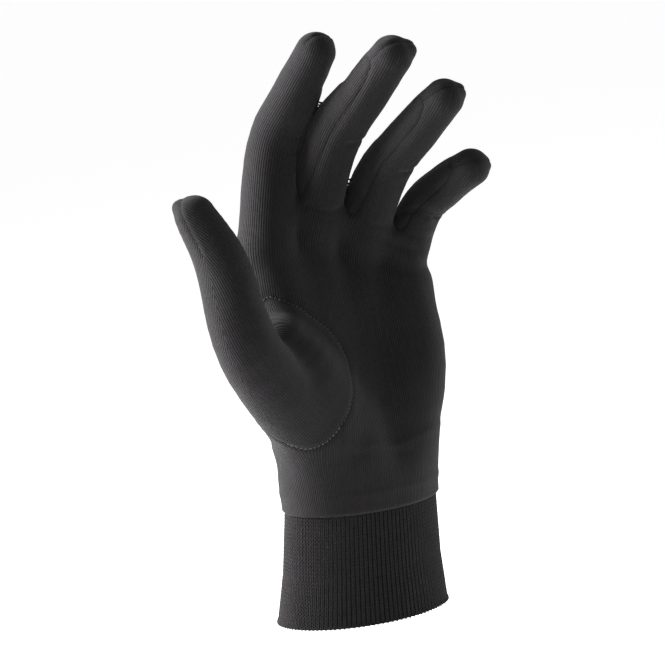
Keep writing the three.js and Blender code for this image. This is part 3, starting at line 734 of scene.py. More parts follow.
@dataclass
class Seams:
    """The seams as distances on the cloth: below zero inside a piece, zero on its seam."""

    SHORTEST_RAY = 4.0
    LONGEST_RAY = 60.0
    RAY_STEP = 1.0
    RAY_HALVINGS = 12

    hand: Hand
    sizes: SeamSizes = field(default_factory=SeamSizes)

    def __post_init__(self) -> None:
        """Works out the thumb seam's centre and axes."""
        c = self.sizes.thumb_centre
        self.centre = self.hand.in_palm(c.across, -c.out, c.up)
        self.facing = unit(np.array(self.sizes.thumb_facing))
        self.rise = unit(np.array([0, 0, 1.0]) - self.facing[2] * self.facing)
        self.side = np.cross(self.facing, self.rise)

    def tilt(self, turn: np.ndarray) -> np.ndarray:
        """The thumb seam's tilt on a closed smooth curve.

        Args:
            turn: Turns round the seam in degrees.

        Returns:
            The tilts in degrees.
        """
        turns, tilts = np.array(self.sizes.thumb_turns, float), np.array(self.sizes.thumb_tilts, float)
        turn = np.mod(turn, 360)
        i = np.searchsorted(turns, turn, side="right") - 1
        n = len(turns)
        start = turns[i]
        end = np.where(i + 1 < n, turns[(i + 1) % n], 360 + turns[0])
        t = (turn - start) / (end - start)
        a, b, c, d = (tilts[(i + k) % n] for k in (-1, 0, 1, 2))
        return curve_through(a, b, c, d, t)

    def thumb(self, p: np.ndarray) -> np.ndarray:
        """Distance from the thumb's oval seam, below zero on the thumb.

        Args:
            p: Points in millimetres, one row each.

        Returns:
            The distances.
        """
        rel = p - self.centre
        far = np.linalg.norm(rel, axis=1)
        turn = np.degrees(np.arctan2(rel @ self.rise, rel @ self.side))
        lift = np.degrees(np.arcsin(np.clip((rel @ self.facing) / np.maximum(far, 1e-9), -1, 1)))
        value = -np.radians(lift - self.tilt(turn)) * far
        above = ramp(rel @ self.rise, *self.sizes.crotch_fade)
        reach = self.sizes.thumb_reach + self.sizes.crotch_reach * (1 - above)
        beyond = self.hand.thumb.measure(p, whole=True)[0] - reach
        return np.maximum(value, beyond)

    def strip(self, gap: int, p: np.ndarray) -> np.ndarray:
        """Distance from the edge of the strip between two fingers, below zero on it.

        Args:
            gap: The gap's number, 0 beside the index finger.
            p: Points in millimetres, one row each.

        Returns:
            The distances.
        """
        s, hand, least = self.sizes, self.hand, 0.3
        pair = [hand.in_limb(hand.fingers[gap + k], p) for k in (0, 1)]
        close = [np.maximum(limb["distance"], 0) + least for limb in pair]
        weight = close[1] / (close[0] + close[1])
        mixed = {key: weight * pair[0][key] + (1 - weight) * pair[1][key] for key in ("share", "out")}
        widths = [hand.sizes.fingers[gap + k].width for k in (0, 1)]
        lengths = [hand.sizes.fingers[gap + k].length for k in (0, 1)]
        fit = (weight * widths[0] + (1 - weight) * widths[1]) / hand.sizes.fingers[Limb.MIDDLE].width
        length = weight * lengths[0] + (1 - weight) * lengths[1]
        width = np.interp(mixed["share"], s.strip_shares, s.strip_widths) * s.strip_width * fit
        sides = np.abs(mixed["out"] + s.strip_set_back * fit) - width / 2
        foot = (s.strip_shares[0] - mixed["share"]) * length
        head = (mixed["share"] - s.strip_shares[-1]) * length
        value = -smooth_union(-sides, -foot, s.strip_foot_round)
        value = -smooth_union(-value, -head, s.strip_head_round)
        outer = np.where(weight > 0.5, -pair[0]["side"], pair[1]["side"])
        return np.where(outer > 0, np.maximum(value, outer + 1), value)

    def front(self, p: np.ndarray) -> np.ndarray:
        """Distance from the line between the palm's and the back's side, below zero on the palm's side.

        Args:
            p: Points in millimetres, one row each.

        Returns:
            The distances.
        """
        s, hand = self.sizes, self.hand
        soft = 2.0
        limbs = [hand.in_limb(row, p) for row in [*hand.fingers, *hand.rays]]
        nearest = np.min([limb["distance"] for limb in limbs], axis=0)
        total = np.zeros(len(p))
        out = np.zeros(len(p))
        for i, limb in enumerate(limbs):
            weight = np.exp(-(limb["distance"] - nearest) / soft)
            value = limb["out"].copy()
            if i < len(hand.fingers):
                inner = ramp(limb["side"] / limb["radius"], *s.inner_fade)
                inner = {Limb.INDEX: inner, Limb.LITTLE: 1 - inner}.get(i, np.ones(len(p)))
                past = (limb["share"] >= 1) * np.abs(limb["distance"])
                tip = (1 - limb["share"]) * hand.sizes.fingers[i].length - past
                value += s.strip_set_back * inner * ramp(tip, *s.tip_fade)
            total += weight
            out += weight * value
        low = ramp(p[:, 2], *(hand.sizes.cuff_height + rise for rise in s.wrist_fade))
        return -(low * out / total - (1 - low) * p[:, 1])

    def thumb_line(self, p: np.ndarray) -> tuple[np.ndarray, np.ndarray]:
        """Places points beside the thumb's own seam, which runs along it.

        Args:
            p: Points in millimetres, one row each.

        Returns:
            Distances from the seam, and how far the points are on its side of the thumb.
        """
        _, share = self.hand.thumb.measure(p, whole=True)
        centre, way, _ = self.hand.thumb.at(share)
        towards = np.array(self.sizes.thumb_line_way)
        towards = unit(towards - (way @ towards)[:, None] * way)
        rel = p - centre
        return (rel * np.cross(way, towards)).sum(1), (rel * towards).sum(1)

    def thumb_loop(self, turns: np.ndarray) -> np.ndarray:
        """Finds the thumb's oval seam on the cloth.

        Args:
            turns: Turns round the seam in degrees.

        Returns:
            Its points.
        """
        tilt, turn = np.radians(self.tilt(turns))[:, None], np.radians(turns)[:, None]
        level = np.cos(turn) * self.side + np.sin(turn) * self.rise
        ray = np.cos(tilt) * level + np.sin(tilt) * self.facing
        far = np.full(len(turns), self.LONGEST_RAY)
        for reach in np.arange(self.SHORTEST_RAY, self.LONGEST_RAY, self.RAY_STEP)[::-1]:
            outside = self.hand.distance(self.centre + reach * ray) > 0
            far = np.where(outside, reach, far)
        near = far - self.RAY_STEP
        for _ in range(self.RAY_HALVINGS):
            middle = (near + far) / 2
            outside = self.hand.distance(self.centre + middle[:, None] * ray) > 0
            far = np.where(outside, middle, far)
            near = np.where(outside, near, middle)
        return self.centre + far[:, None] * ray


def surface_net(value: np.ndarray, low: np.ndarray, step: float) -> tuple[np.ndarray, np.ndarray]:
    """Four-cornered facets on the surface where a grid of distances crosses zero.

    Args:
        value: Distances on the grid.
        low: The grid's lowest corner.
        step: The grid's spacing.

    Returns:
        Points and faces, facing out of the part where the distance is below zero.
    """
    cells, spots, faces = [], [], []
    for axis in range(3):
        u, v = (axis + 1) % 3, (axis + 2) % 3
        first = np.take(value, np.arange(value.shape[axis] - 1), axis)
        second = np.take(value, np.arange(1, value.shape[axis]), axis)
        edge = np.argwhere((first < 0) != (second < 0))
        edge = edge[(edge[:, u] > 0) & (edge[:, v] > 0)]
        a, b = first[tuple(edge.T)], second[tuple(edge.T)]
        spot = edge.astype(float)
        spot[:, axis] += a / (a - b)
        corners = []
        for du, dv in ((1, 1), (0, 1), (0, 0), (1, 0)):
            cell = edge.copy()
            cell[:, u] -= du
            cell[:, v] -= dv
            corners.append(np.ravel_multi_index(cell.T, value.shape))
            cells.append(corners[-1])
            spots.append(spot)
        face = np.stack(corners, 1)
        face[b < 0] = face[b < 0][:, ::-1]
        faces.append(face)
    names, inverse = np.unique(np.concatenate(cells), return_inverse=True)
    spots = np.concatenate(spots)
    count = np.bincount(inverse)
    points = np.stack([np.bincount(inverse, spots[:, k]) / count for k in range(3)], 1)
    return low + step * points, np.searchsorted(names, np.concatenate(faces))


def edges_of(faces: np.ndarray) -> np.ndarray:
    """Each edge of four-cornered faces once."""
    pairs = np.concatenate([faces[:, [k, (k + 1) % 4]] for k in range(4)])
    return np.unique(np.sort(pairs, axis=1), axis=0)


def evened(points: np.ndarray, edges: np.ndarray, free: np.ndarray, share: float = 0.5) -> np.ndarray:
    """Free points moved a share of the way to the middle of their neighbours.

    Args:
        points: All points.
        edges: Pairs of neighbours.
        free: Which points may move.
        share: The share of the way.

    Returns:
        The points after the move.
    """
    n = len(points)
    both = np.concatenate([edges, edges[:, ::-1]])
    count = np.maximum(np.bincount(both[:, 0], minlength=n), 1)
    middle = np.stack([np.bincount(both[:, 0], points[both[:, 1], k], n) / count for k in range(3)], 1)
    return np.where(free[:, None], points + share * (middle - points), points)


def unrolled(count: int, edges: np.ndarray, steps: np.ndarray, rounds: int = 700) -> np.ndarray:
    """Numbers at points whose differences along the edges fit the given steps best.

    Args:
        count: How many points there are.
        edges: Pairs of points.
        steps: The difference wanted from each pair's first to its second point.
        rounds: Most steps of the conjugate gradients.

    Returns:
        One number for each point.
    """
    i, j = edges.T

    def spread(step: np.ndarray) -> np.ndarray:
        """Gathers the edges' steps at their ends."""
        return np.bincount(j, step, count) - np.bincount(i, step, count)

    x = np.zeros(count)
    rest = spread(steps)
    way = rest.copy()
    size = rest @ rest
    first = size
    for _ in range(rounds):
        if size < 1e-10 * first:
            break
        pull = spread(way[j] - way[i])
        share = size / (way @ pull)
        x += share * way
        rest -= share * pull
        new = rest @ rest
        way = rest + new / size * way
        size = new
    return x


def mesh_object(
    name: str, points: np.ndarray, faces: list | np.ndarray, material: bpy.types.Material
) -> bpy.types.Object:
    """A smooth-shaded mesh object at the origin.

    Args:
        name: The piece's name.
        points: Corners in metres.
        faces: Faces as rows of corners.
        material: Its finish.

    Returns:
        The new object, linked to the scene.
    """
    mesh = bpy.data.meshes.new(name)
    mesh.from_pydata(points.tolist(), [], faces if isinstance(faces, list) else faces.tolist())
    mesh.validate()
    mesh.polygons.foreach_set("use_smooth", np.ones(len(mesh.polygons), bool))
    mesh.materials.append(material)
    piece = bpy.data.objects.new(name, mesh)
    bpy.context.scene.collection.objects.link(piece)
    return piece


def add_uv(mesh: bpy.types.Mesh, values: np.ndarray) -> None:
    """Gives a mesh its UV map of stitches.

    Args:
        mesh: The mesh.
        values: Two numbers for each point.
    """
    corners = np.empty(len(mesh.loops), np.int32)
    mesh.loops.foreach_get("vertex_index", corners)
    layer = mesh.uv_layers.new(name="Stitches")
    layer.data.foreach_set("uv", values[corners].astype(np.float32).ravel())


def add_number(mesh: bpy.types.Mesh, name: str, values: np.ndarray) -> None:
    """Gives a mesh a named number at each corner point."""
    layer = mesh.attributes.new(name, "FLOAT", "POINT")
    layer.data.foreach_set("value", values.astype(np.float32))


class Nodes:
    """A node tree under construction."""

    def __init__(self, tree: bpy.types.NodeTree) -> None:
        """Keeps the tree."""
        self.tree = tree

    def feed(self, node: bpy.types.Node, inputs: dict) -> None:
        """Feeds a node's inputs.

        Args:
            node: The node.
            inputs: Values or other nodes' sockets by input name or number.
        """
        for key, value in inputs.items():
            if isinstance(value, bpy.types.NodeSocket):
                self.tree.links.new(value, node.inputs[key])
            else:
                node.inputs[key].default_value = value

    def add(self, kind: str, inputs: dict | None = None, **settings: object) -> bpy.types.Node:
        """Adds a node.

        Args:
            kind: The node's type.
            inputs: What feeds its inputs.
            **settings: Its own settings, set before the inputs.

        Returns:
            The new node.
        """
        node = self.tree.nodes.new(kind)
        for key, value in settings.items():
            setattr(node, key, value)
        self.feed(node, inputs or {})
        return node

    def math(self, operation: str, *values: object) -> bpy.types.NodeSocket:
        """A maths node on up to three values, and its output."""
        return self.add("ShaderNodeMath", dict(enumerate(values)), operation=operation).outputs[0]

    def mapped(
        self, value: object, low: float, high: float, start: float, end: float
    ) -> bpy.types.NodeSocket:
        """A value mapped from low and high to start and end, and kept between them."""
        names = {"Value": value, "From Min": low, "From Max": high, "To Min": start, "To Max": end}
        return self.add("ShaderNodeMapRange", names).outputs[0]

    def scaled(
        self, colour: tuple[float, float, float], tone: bpy.types.NodeSocket
    ) -> bpy.types.NodeSocket:
        """A colour times a tone that changes over the surface."""
        return self.add("ShaderNodeVectorMath", {0: colour, "Scale": tone}, operation="SCALE").outputs[0]

    def bumped(
        self, height: bpy.types.NodeSocket, depth: float, under: bpy.types.NodeSocket | None = None
    ) -> bpy.types.NodeSocket:
        """A bump.

        Args:
            height: The height, between 0 and 1.
            depth: How deep it is in millimetres.
            under: A normal that it lies on.

        Returns:
            The bumped normal.
        """
        inputs = {"Height": height, "Distance": depth * MM}
        if under is not None:
            inputs["Normal"] = under
        return self.add("ShaderNodeBump", inputs).outputs[0]


def new_material(name: str) -> tuple[bpy.types.Material, Nodes, bpy.types.Node]:
    """Starts a material.

    Args:
        name: Its name.

    Returns:
        The material, its nodes and its shader.
    """
    material = bpy.data.materials.new(name)
    material.use_nodes = True
    return material, Nodes(material.node_tree), material.node_tree.nodes["Principled BSDF"]


def group_of(name: str, inputs: dict[str, str], outputs: dict[str, str]) -> bpy.types.NodeTree:
    """Starts a shader group.

    Args:
        name: Its name.
        inputs: Its inputs' socket types by name.
        outputs: Its outputs' socket types by name.

    Returns:
        The group, with nothing but its sockets.
    """
    tree = bpy.data.node_groups.new(name, "ShaderNodeTree")
    for key, kind in inputs.items():
        tree.interface.new_socket(key, in_out="INPUT", socket_type=kind)
    for key, kind in outputs.items():
        tree.interface.new_socket(key, in_out="OUTPUT", socket_type=kind)
    return tree


def knit_group() -> bpy.types.NodeTree:
    """The jersey's stitches, in each wale a rounded rib that its rows cross.

    Returns:
        The group: height, a mask of the hollows between the stitches where the jersey paints shade into its
            colour, and each stitch's own tone.
    """
    leg_share, roundness, column_share = 0.25, 0.7, 0.35
    number = "NodeSocketFloat"
    tree = group_of(
        "KnitStitches",
        {"Stitches": "NodeSocketVector", "Slant": number, "Row Share": number},
        {"Height": number, "Painted Hollow Shade": number, "Stitch Tone": number},
    )
    n = Nodes(tree)
    given = n.add("NodeGroupInput").outputs
    parts = n.add("ShaderNodeSeparateXYZ", {0: given["Stitches"]}).outputs
    half = n.math("ABSOLUTE", n.math("SUBTRACT", n.math("FRACT", parts[0]), 0.5))
    turn = n.math("MULTIPLY", half, 2 * math.pi)
    wale = n.math("MULTIPLY_ADD", n.math("COSINE", turn), 0.5, 0.5)
    split = n.math("MULTIPLY", n.math("SINE", turn), leg_share)
    legs = n.math("ADD", n.math("MULTIPLY", wale, 1 - leg_share), split)
    slanted = n.math("SUBTRACT", parts[1], n.math("MULTIPLY", half, given["Slant"]))
    rows = n.math("COSINE", n.math("MULTIPLY", slanted, 2 * math.pi))
    rows = n.math("MULTIPLY_ADD", rows, 0.5, 0.5)
    rise = n.math("POWER", n.math("MAXIMUM", legs, 0.001), roundness)
    share = n.math("MULTIPLY", n.math("SUBTRACT", rows, 1.0), given["Row Share"])
    height = n.math("MULTIPLY", rise, n.math("ADD", share, 1.0))
    cell = n.add("ShaderNodeVectorMath", {0: given["Stitches"]}, operation="FLOOR").outputs[0]
    single = n.add("ShaderNodeTexWhiteNoise", {"Vector": cell}, noise_dimensions="3D").outputs["Value"]
    wales = n.math("FLOOR", parts[0])
    column = n.add("ShaderNodeTexWhiteNoise", {"W": wales}, noise_dimensions="1D").outputs["Value"]
    column = n.math("MULTIPLY", column, column_share)
    mixed = n.math("ADD", n.math("MULTIPLY", single, 1 - column_share), column)
    # Painted shade: the hollows' mask, one minus the height, is where the jersey darkens its colour between
    # the stitches.
    results = {
        "Height": height,
        "Painted Hollow Shade": n.math("SUBTRACT", 1.0, height),
        "Stitch Tone": n.mapped(mixed, 0.0, 1.0, 0.8, 1.2),
    }
    n.add("NodeGroupOutput", results)
    return tree


def cloth_group() -> bpy.types.NodeTree:
    """Slow unevenness and fine fuzz of brushed yarn.

    Returns:
        The group: a tone around one, and the fuzz as a height.
    """
    number = "NodeSocketFloat"
    tree = group_of("YarnVariation", {"Place": "NodeSocketVector"}, {"Tone": number, "Fuzz": number})
    n = Nodes(tree)
    place = n.add("NodeGroupInput").outputs["Place"]
    slow = n.add("ShaderNodeTexNoise", {"Vector": place, "Scale": 45.0, "Detail": 3.0}).outputs[0]
    fibres = {"Vector": place, "Scale": 1500.0, "Detail": 3.0, "Roughness": 0.7}
    fine = n.add("ShaderNodeTexNoise", fibres).outputs[0]
    fine_tone = n.mapped(fine, 0.3, 0.7, 0.85, 1.15)
    tone = n.math("MULTIPLY", n.mapped(slow, 0.3, 0.7, 0.93, 1.06), fine_tone)
    n.add("NodeGroupOutput", {"Tone": tone, "Fuzz": fine})
    return tree


@dataclass(frozen=True)
class Nap:
    """The soft surface of yarn: how little it shines, and how its fibres catch the light."""

    specular: float = 0.12
    sheen: float = 0.05
    sheen_roughness: float = 0.45

    def set_on(self, shader: bpy.types.Node) -> None:
        """Sets the shader's own sockets.

        Args:
            shader: The material's shader.
        """
        shader.inputs["Specular IOR Level"].default_value = self.specular
        shader.inputs["Sheen Weight"].default_value = self.sheen
        shader.inputs["Sheen Roughness"].default_value = self.sheen_roughness


@dataclass(frozen=True)
class Jersey:
    """Fine brushed jersey in near black, with painted highlight on its knit's crests and painted shade in
    its hollows.
    """

    colour: tuple[float, float, float] = (0.0092, 0.0083, 0.0091)
    slant: float = 1.1
    row_share: float = 0.15
    # Painted highlight and painted shade: the colour is scaled up on the knit's crests and down in its
    # hollows.
    painted_crest_light: float = 1.6
    painted_hollow_shade: float = 0.3
    # Painted shade in the seams' grooves: the colour is darkened by this factor at a seam, fading out over
    # this reach in millimetres.
    painted_seam_shade: float = 0.5
    painted_shade_reach_at_seams: float = 0.7
    knit_depth: float = 0.2
    fuzz_depth: float = 0.05
    roughness: tuple[float, float] = (0.72, 0.95)
    nap: Nap = Nap()

    def make(self, name: str, knit: bpy.types.NodeTree, yarn: bpy.types.NodeTree) -> bpy.types.Material:
        """Builds the material.

        Args:
            name: The material's name.
            knit: The group of knit stitches.
            yarn: The group of yarn variation.

        Returns:
            The finished material.
        """
        material, n, shader = new_material(name)
        place = n.add("ShaderNodeTexCoord").outputs["Object"]
        stitches = n.add("ShaderNodeUVMap", uv_map="Stitches").outputs[0]
        settings = {"Stitches": stitches, "Slant": self.slant, "Row Share": self.row_share}
        loops = n.add("ShaderNodeGroup", settings, node_tree=knit).outputs
        varied = n.add("ShaderNodeGroup", {"Place": place}, node_tree=yarn).outputs
        seam = n.add("ShaderNodeAttribute", attribute_name="seam_distance").outputs["Fac"]
        # Painted highlight and painted shade of the knit: lighter colour on its crests, darker in its
        # hollows.
        shade = n.mapped(loops["Painted Hollow Shade"], 0.0, 1.0, self.painted_crest_light, self.painted_hollow_shade)
        # Painted shade: the base colour is darkened near each seam, over its groove.
        dark = n.mapped(seam, 0.0, self.painted_shade_reach_at_seams, self.painted_seam_shade, 1.0)
        tone = n.math("MULTIPLY", n.math("MULTIPLY", shade, varied["Tone"]), dark)
        tone = n.math("MULTIPLY", tone, loops["Stitch Tone"])
        fuzz = n.bumped(varied["Fuzz"], self.fuzz_depth)
        finish = {
            "Base Color": n.scaled(self.colour, tone),
            "Normal": n.bumped(loops["Height"], self.knit_depth, fuzz),
            "Roughness": n.mapped(varied["Fuzz"], 0.3, 0.7, *self.roughness),
        }
        n.feed(shader, finish)
        self.nap.set_on(shader)
        return material


@dataclass(frozen=True)
class RibYarn:
    """The cuff's thicker yarn in near black."""

    colour: tuple[float, float, float] = (0.0142, 0.013, 0.0139)
    # groove is the yarn's colour darkened as painted shade, for the wall recessed behind the stitches.
    groove: tuple[float, float, float] = (0.0095, 0.0087, 0.0093)
    fuzz_depth: float = 0.12
    roughness: float = 0.88
    nap: Nap = Nap()

    def make(self, name: str, yarn: bpy.types.NodeTree, deep: bool = False) -> bpy.types.Material:
        """Builds the material, in a darker colour as painted shade where deep.

        Args:
            name: The material's name.
            yarn: The group of yarn variation.
            deep: Whether it is the wall behind the stitches, which gets the darker colour as painted shade.

        Returns:
            The finished material.
        """
        material, n, shader = new_material(name)
        place = n.add("ShaderNodeTexCoord").outputs["Object"]
        varied = n.add("ShaderNodeGroup", {"Place": place}, node_tree=yarn).outputs
        finish = {
            # Painted shade: the recessed wall takes the darker copy of the yarn's colour.
            "Base Color": n.scaled(self.groove if deep else self.colour, varied["Tone"]),
            "Normal": n.bumped(varied["Fuzz"], self.fuzz_depth),
            "Roughness": self.roughness,
        }
        n.feed(shader, finish)
        self.nap.set_on(shader)
        return material


@dataclass(frozen=True)
class Thread:
    """Sewing thread, black or pale along part of the thumb's seam."""

    colour: tuple[float, float, float]
    twist_scale: float = 2500.0
    twist_depth: float = 0.05
    roughness: float = 0.7

    def make(self, name: str) -> bpy.types.Material:
        """Builds the material with the thread's twist.

        Args:
            name: The material's name.

        Returns:
            The finished material.
        """
        material, n, shader = new_material(name)
        place = n.add("ShaderNodeTexCoord").outputs["Object"]
        strands = {"Vector": place, "Scale": self.twist_scale, "Detail": 2.0}
        twist = n.add("ShaderNodeTexNoise", strands).outputs[0]
        finish = {
            "Base Color": n.scaled(self.colour, n.mapped(twist, 0.3, 0.7, 0.7, 1.3)),
            "Normal": n.bumped(twist, self.twist_depth),
            "Roughness": self.roughness,
        }
        n.feed(shader, finish)
        return material


@dataclass
class GloveBody:
    """The jersey body: the trank, the set-in thumb and the three strips between the fingers."""

    ROUNDS = 3
    COARSE = 4
    SNAPS = 4
    NO_SEAM = 99

    hand: Hand
    seams: Seams
    cloth: ClothSizes = field(default_factory=ClothSizes)
    low: tuple[float, float, float] = (-84, -54, 36)
    high: tuple[float, float, float] = (58, 38, 246)

    def __post_init__(self) -> None:
        """Meshes the hand's form, marks its panels and gives the cloth its seams and creases."""
        points, self.faces = surface_net(*self._grid())
        self.edges = edges_of(self.faces)
        free = np.ones(len(points), bool)
        for _ in range(self.ROUNDS):
            points = self.hand.settled(evened(points, self.edges, free), 1)
        self.points = self.hand.settled(points, 1)
        LOG.info("body form: %d points", len(self.points))
        self._mark_panels()
        self._snap_to_seams()
        self._shape_cloth()

    def _grid(self) -> tuple[np.ndarray, np.ndarray, float]:
        """Distances on a grid, worked out finely only near the cloth.

        Returns:
            The distances, the grid's lowest corner and its spacing.
        """
        step, coarse, reach = self.cloth.mesh_step, self.COARSE, 1.25
        low, high = np.array(self.low, float), np.array(self.high, float)
        blocks = np.ceil((high - low) / (step * coarse)).astype(int) + 1
        middle = [low[k] + step * (coarse * (np.arange(blocks[k]) + 0.5) - 0.5) for k in range(3)]
        places = np.stack(np.meshgrid(*middle, indexing="ij"), -1).reshape(-1, 3)
        value = self.hand.distance(places).reshape(blocks)
        for axis in range(3):
            value = np.repeat(value, coarse, axis)
        near = np.argwhere(np.abs(value) < step * coarse * reach)
        value[tuple(near.T)] = self.hand.distance(low + step * near)
        return value, low, step

    def _mark_panels(self) -> None:
        """Marks each face with its panel."""
        middle = self.points[self.faces].mean(1)
        marks = np.where(self.seams.front(middle) < 0, Panel.FRONT.value, Panel.BACK.value)
        for gap, panel in enumerate((Panel.INDEX_MIDDLE, Panel.MIDDLE_RING, Panel.RING_LITTLE)):
            marks[self.seams.strip(gap, middle) < 0] = panel.value
        line, _ = self.seams.thumb_line(middle)
        thumb = np.where(line < 0, Panel.THUMB_FRONT.value, Panel.THUMB_BACK.value)
        marks = np.where(self.seams.thumb(middle) < 0, thumb, marks)
        marks[middle[:, 2] < self.hand.sizes.cuff_height] = Panel.BELOW_HEM.value
        self.marks = marks

    def _touching(self, marks: tuple[Panel, ...]) -> np.ndarray:
        """Which points lie on a face with one of the marks.

        Args:
            marks: The marks.

        Returns:
            A mask of the points.
        """
        found = np.zeros(len(self.points), bool)
        found[self.faces[np.isin(self.marks, [m.value for m in marks])].ravel()] = True
        return found

    def _snap_to_seams(self) -> None:
        """Moves the points between two panels onto their seam, and evens out the points beside it."""
        thumb = (Panel.THUMB_FRONT, Panel.THUMB_BACK)
        trank = (Panel.FRONT, Panel.BACK)
        strips = (Panel.INDEX_MIDDLE, Panel.MIDDLE_RING, Panel.RING_LITTLE)
        on_thumb, on_trank = self._touching(thumb), self._touching(trank)
        _, line_side = self.seams.thumb_line(self.points)
        sides = self._touching((Panel.FRONT,)) & self._touching((Panel.BACK,))
        sides &= ~self._in_fold(self.points)
        line = self._touching((Panel.THUMB_FRONT,)) & self._touching((Panel.THUMB_BACK,))
        line &= line_side > 0
        jobs = [(line, lambda p: self.seams.thumb_line(p)[0]), (sides, self.seams.front)]
        for gap, panel in enumerate(strips):
            here = self._touching((panel,)) & on_trank
            jobs.append((here, lambda p, gap=gap: self.seams.strip(gap, p)))
        jobs.append((on_thumb & on_trank, self.seams.thumb))
        fixed = np.zeros(len(self.points), bool)
        for chosen, seam in jobs:
            self.points[chosen] = self._snapped(self.points[chosen], seam)
            fixed |= chosen
        hem = self._touching((Panel.BELOW_HEM,)) & self._touching((*thumb, *trank))
        fixed |= hem
        self.points[hem, 2] = self.hand.sizes.cuff_height
        keep = self.points.copy()
        for _ in range(self.ROUNDS):
            moved = self.hand.settled(evened(self.points, self.edges, ~fixed), 1)
            self.points = np.where(fixed[:, None], keep, moved)

    def _snapped(self, p: np.ndarray, seam: Callable[[np.ndarray], np.ndarray]) -> np.ndarray:
        """Points moved along the cloth to where a seam's distance is zero.

        Args:
            p: Points in millimetres, one row each.
            seam: The seam's distance at points.

        Returns:
            The moved points.
        """
        step, most = 0.05, 0.8 * self.cloth.mesh_step
        start = p.copy()
        for _ in range(self.SNAPS):
            here = seam(p)
            slope = np.stack([(seam(p + step * axis) - here) / step for axis in np.eye(3)], 1)
            steep = np.maximum((slope**2).sum(1), 0.2)
            move = -(here / steep)[:, None] * slope
            p = p + move * np.minimum(1, most / np.maximum(np.linalg.norm(move, axis=1), 1e-9))[:, None]
            p = self.hand.settled(p, 1)
        far = np.linalg.norm(p - start, axis=1) > 2 * most
        return np.where(far[:, None], start, p)

    def _in_fold(self, p: np.ndarray) -> np.ndarray:
        """Whether points lie where front and back are one cloth, folded along the index finger's side.

        Args:
            p: Points in millimetres, one row each.

        Returns:
            A mask of the points.
        """
        row = self.hand.fingers[Limb.INDEX]
        index = self.hand.in_limb(row, p)
        length = self.hand.sizes.fingers[Limb.INDEX].length
        past = (index["share"] >= 1) * ((p - row.points[-1]) @ row.ways[-1])
        near, tip_end, outer_share, palm_edge = 3, 4, 0.75, 8
        outer = (index["side"] < -outer_share * index["radius"]) & (past < near)
        near_finger = index["distance"] < near
        below_tip = (index["share"] < 1 - tip_end / length) | outer
        in_palm = p[:, 0] < self.hand.sizes.wrist_shift - palm_edge
        return np.where(near_finger, (index["side"] < 0) & below_tip, in_palm)

    def _shape_cloth(self) -> None:
        """Works out the cloth's outside with its seams, creases and slow folds, and its smooth inside."""
        p, hand, seams, sizes = self.points, self.hand, self.seams, self.seams.sizes
        _, slope = hand.slope(p)
        self.normals = unit(slope)
        strips = [seams.strip(gap, p) for gap in range(3)]
        thumb = seams.thumb(p)
        side = np.where(self._in_fold(p) | (thumb < 0), self.NO_SEAM, np.abs(seams.front(p)))
        for strip in strips:
            side = np.where(strip < 0, self.NO_SEAM, side)
        line, towards = seams.thumb_line(p)
        tip_share = hand.thumb.measure(p, whole=True)[1]
        on_line = (thumb < 0) & (towards > 0) & (tip_share > sizes.thumb_line_from)
        line = np.where(on_line, sizes.thumb_line_faintness + np.abs(line), self.NO_SEAM)
        near = np.minimum.reduce([*(np.abs(strip) for strip in strips), np.abs(thumb), side, line])
        self.seam_distance = near
        rise = -sizes.groove_depth * np.exp(-((near / sizes.groove_width) ** 2))
        rise += sizes.ridge_height * np.exp(-(((near - sizes.ridge_place) / sizes.ridge_width) ** 2))
        rise += self._creases(p) + self._folds(p)
        above = np.clip((p[:, 2] - hand.sizes.cuff_height) / self.cloth.hem_roll, 0, 1)
        rise -= self.cloth.hem_roundness * self.cloth.hem_roll * (1 - np.sqrt(1 - (1 - above) ** 2))
        self.outside = p + rise[:, None] * self.normals
        self.inside = p - self.cloth.thickness * self.normals

    def _creases(self, p: np.ndarray) -> np.ndarray:
        """Height of the creases across the fingers and in the palm.

        Args:
            p: Points in millimetres, one row each.

        Returns:
            Heights above the cloth's form.
        """
        rise = np.zeros(len(p))
        full_share, lip_height, near, far = 0.6, 0.15, 1.5, 4
        limbs = [self.hand.in_limb(row, p) for row in self.hand.fingers]
        for crease in CREASES:
            limb = limbs[crease.limb]
            length = self.hand.sizes.fingers[crease.limb].length
            off = np.radians(limb["angle"] - crease.angle)
            along = (limb["share"] - crease.share) * length - crease.slant * off
            fade = 1 - ramp(np.abs(np.degrees(off)), full_share * crease.span, crease.span)
            fade *= 1 - ramp(np.abs(limb["distance"]), near, far)
            dip = -np.exp(-((along / crease.width) ** 2))
            lips = lip_height * np.exp(-(((np.abs(along) - 2 * crease.width) / crease.width) ** 2))
            rise += crease.depth * fade * (dip + lips)
        return rise + self._palm_folds(p)

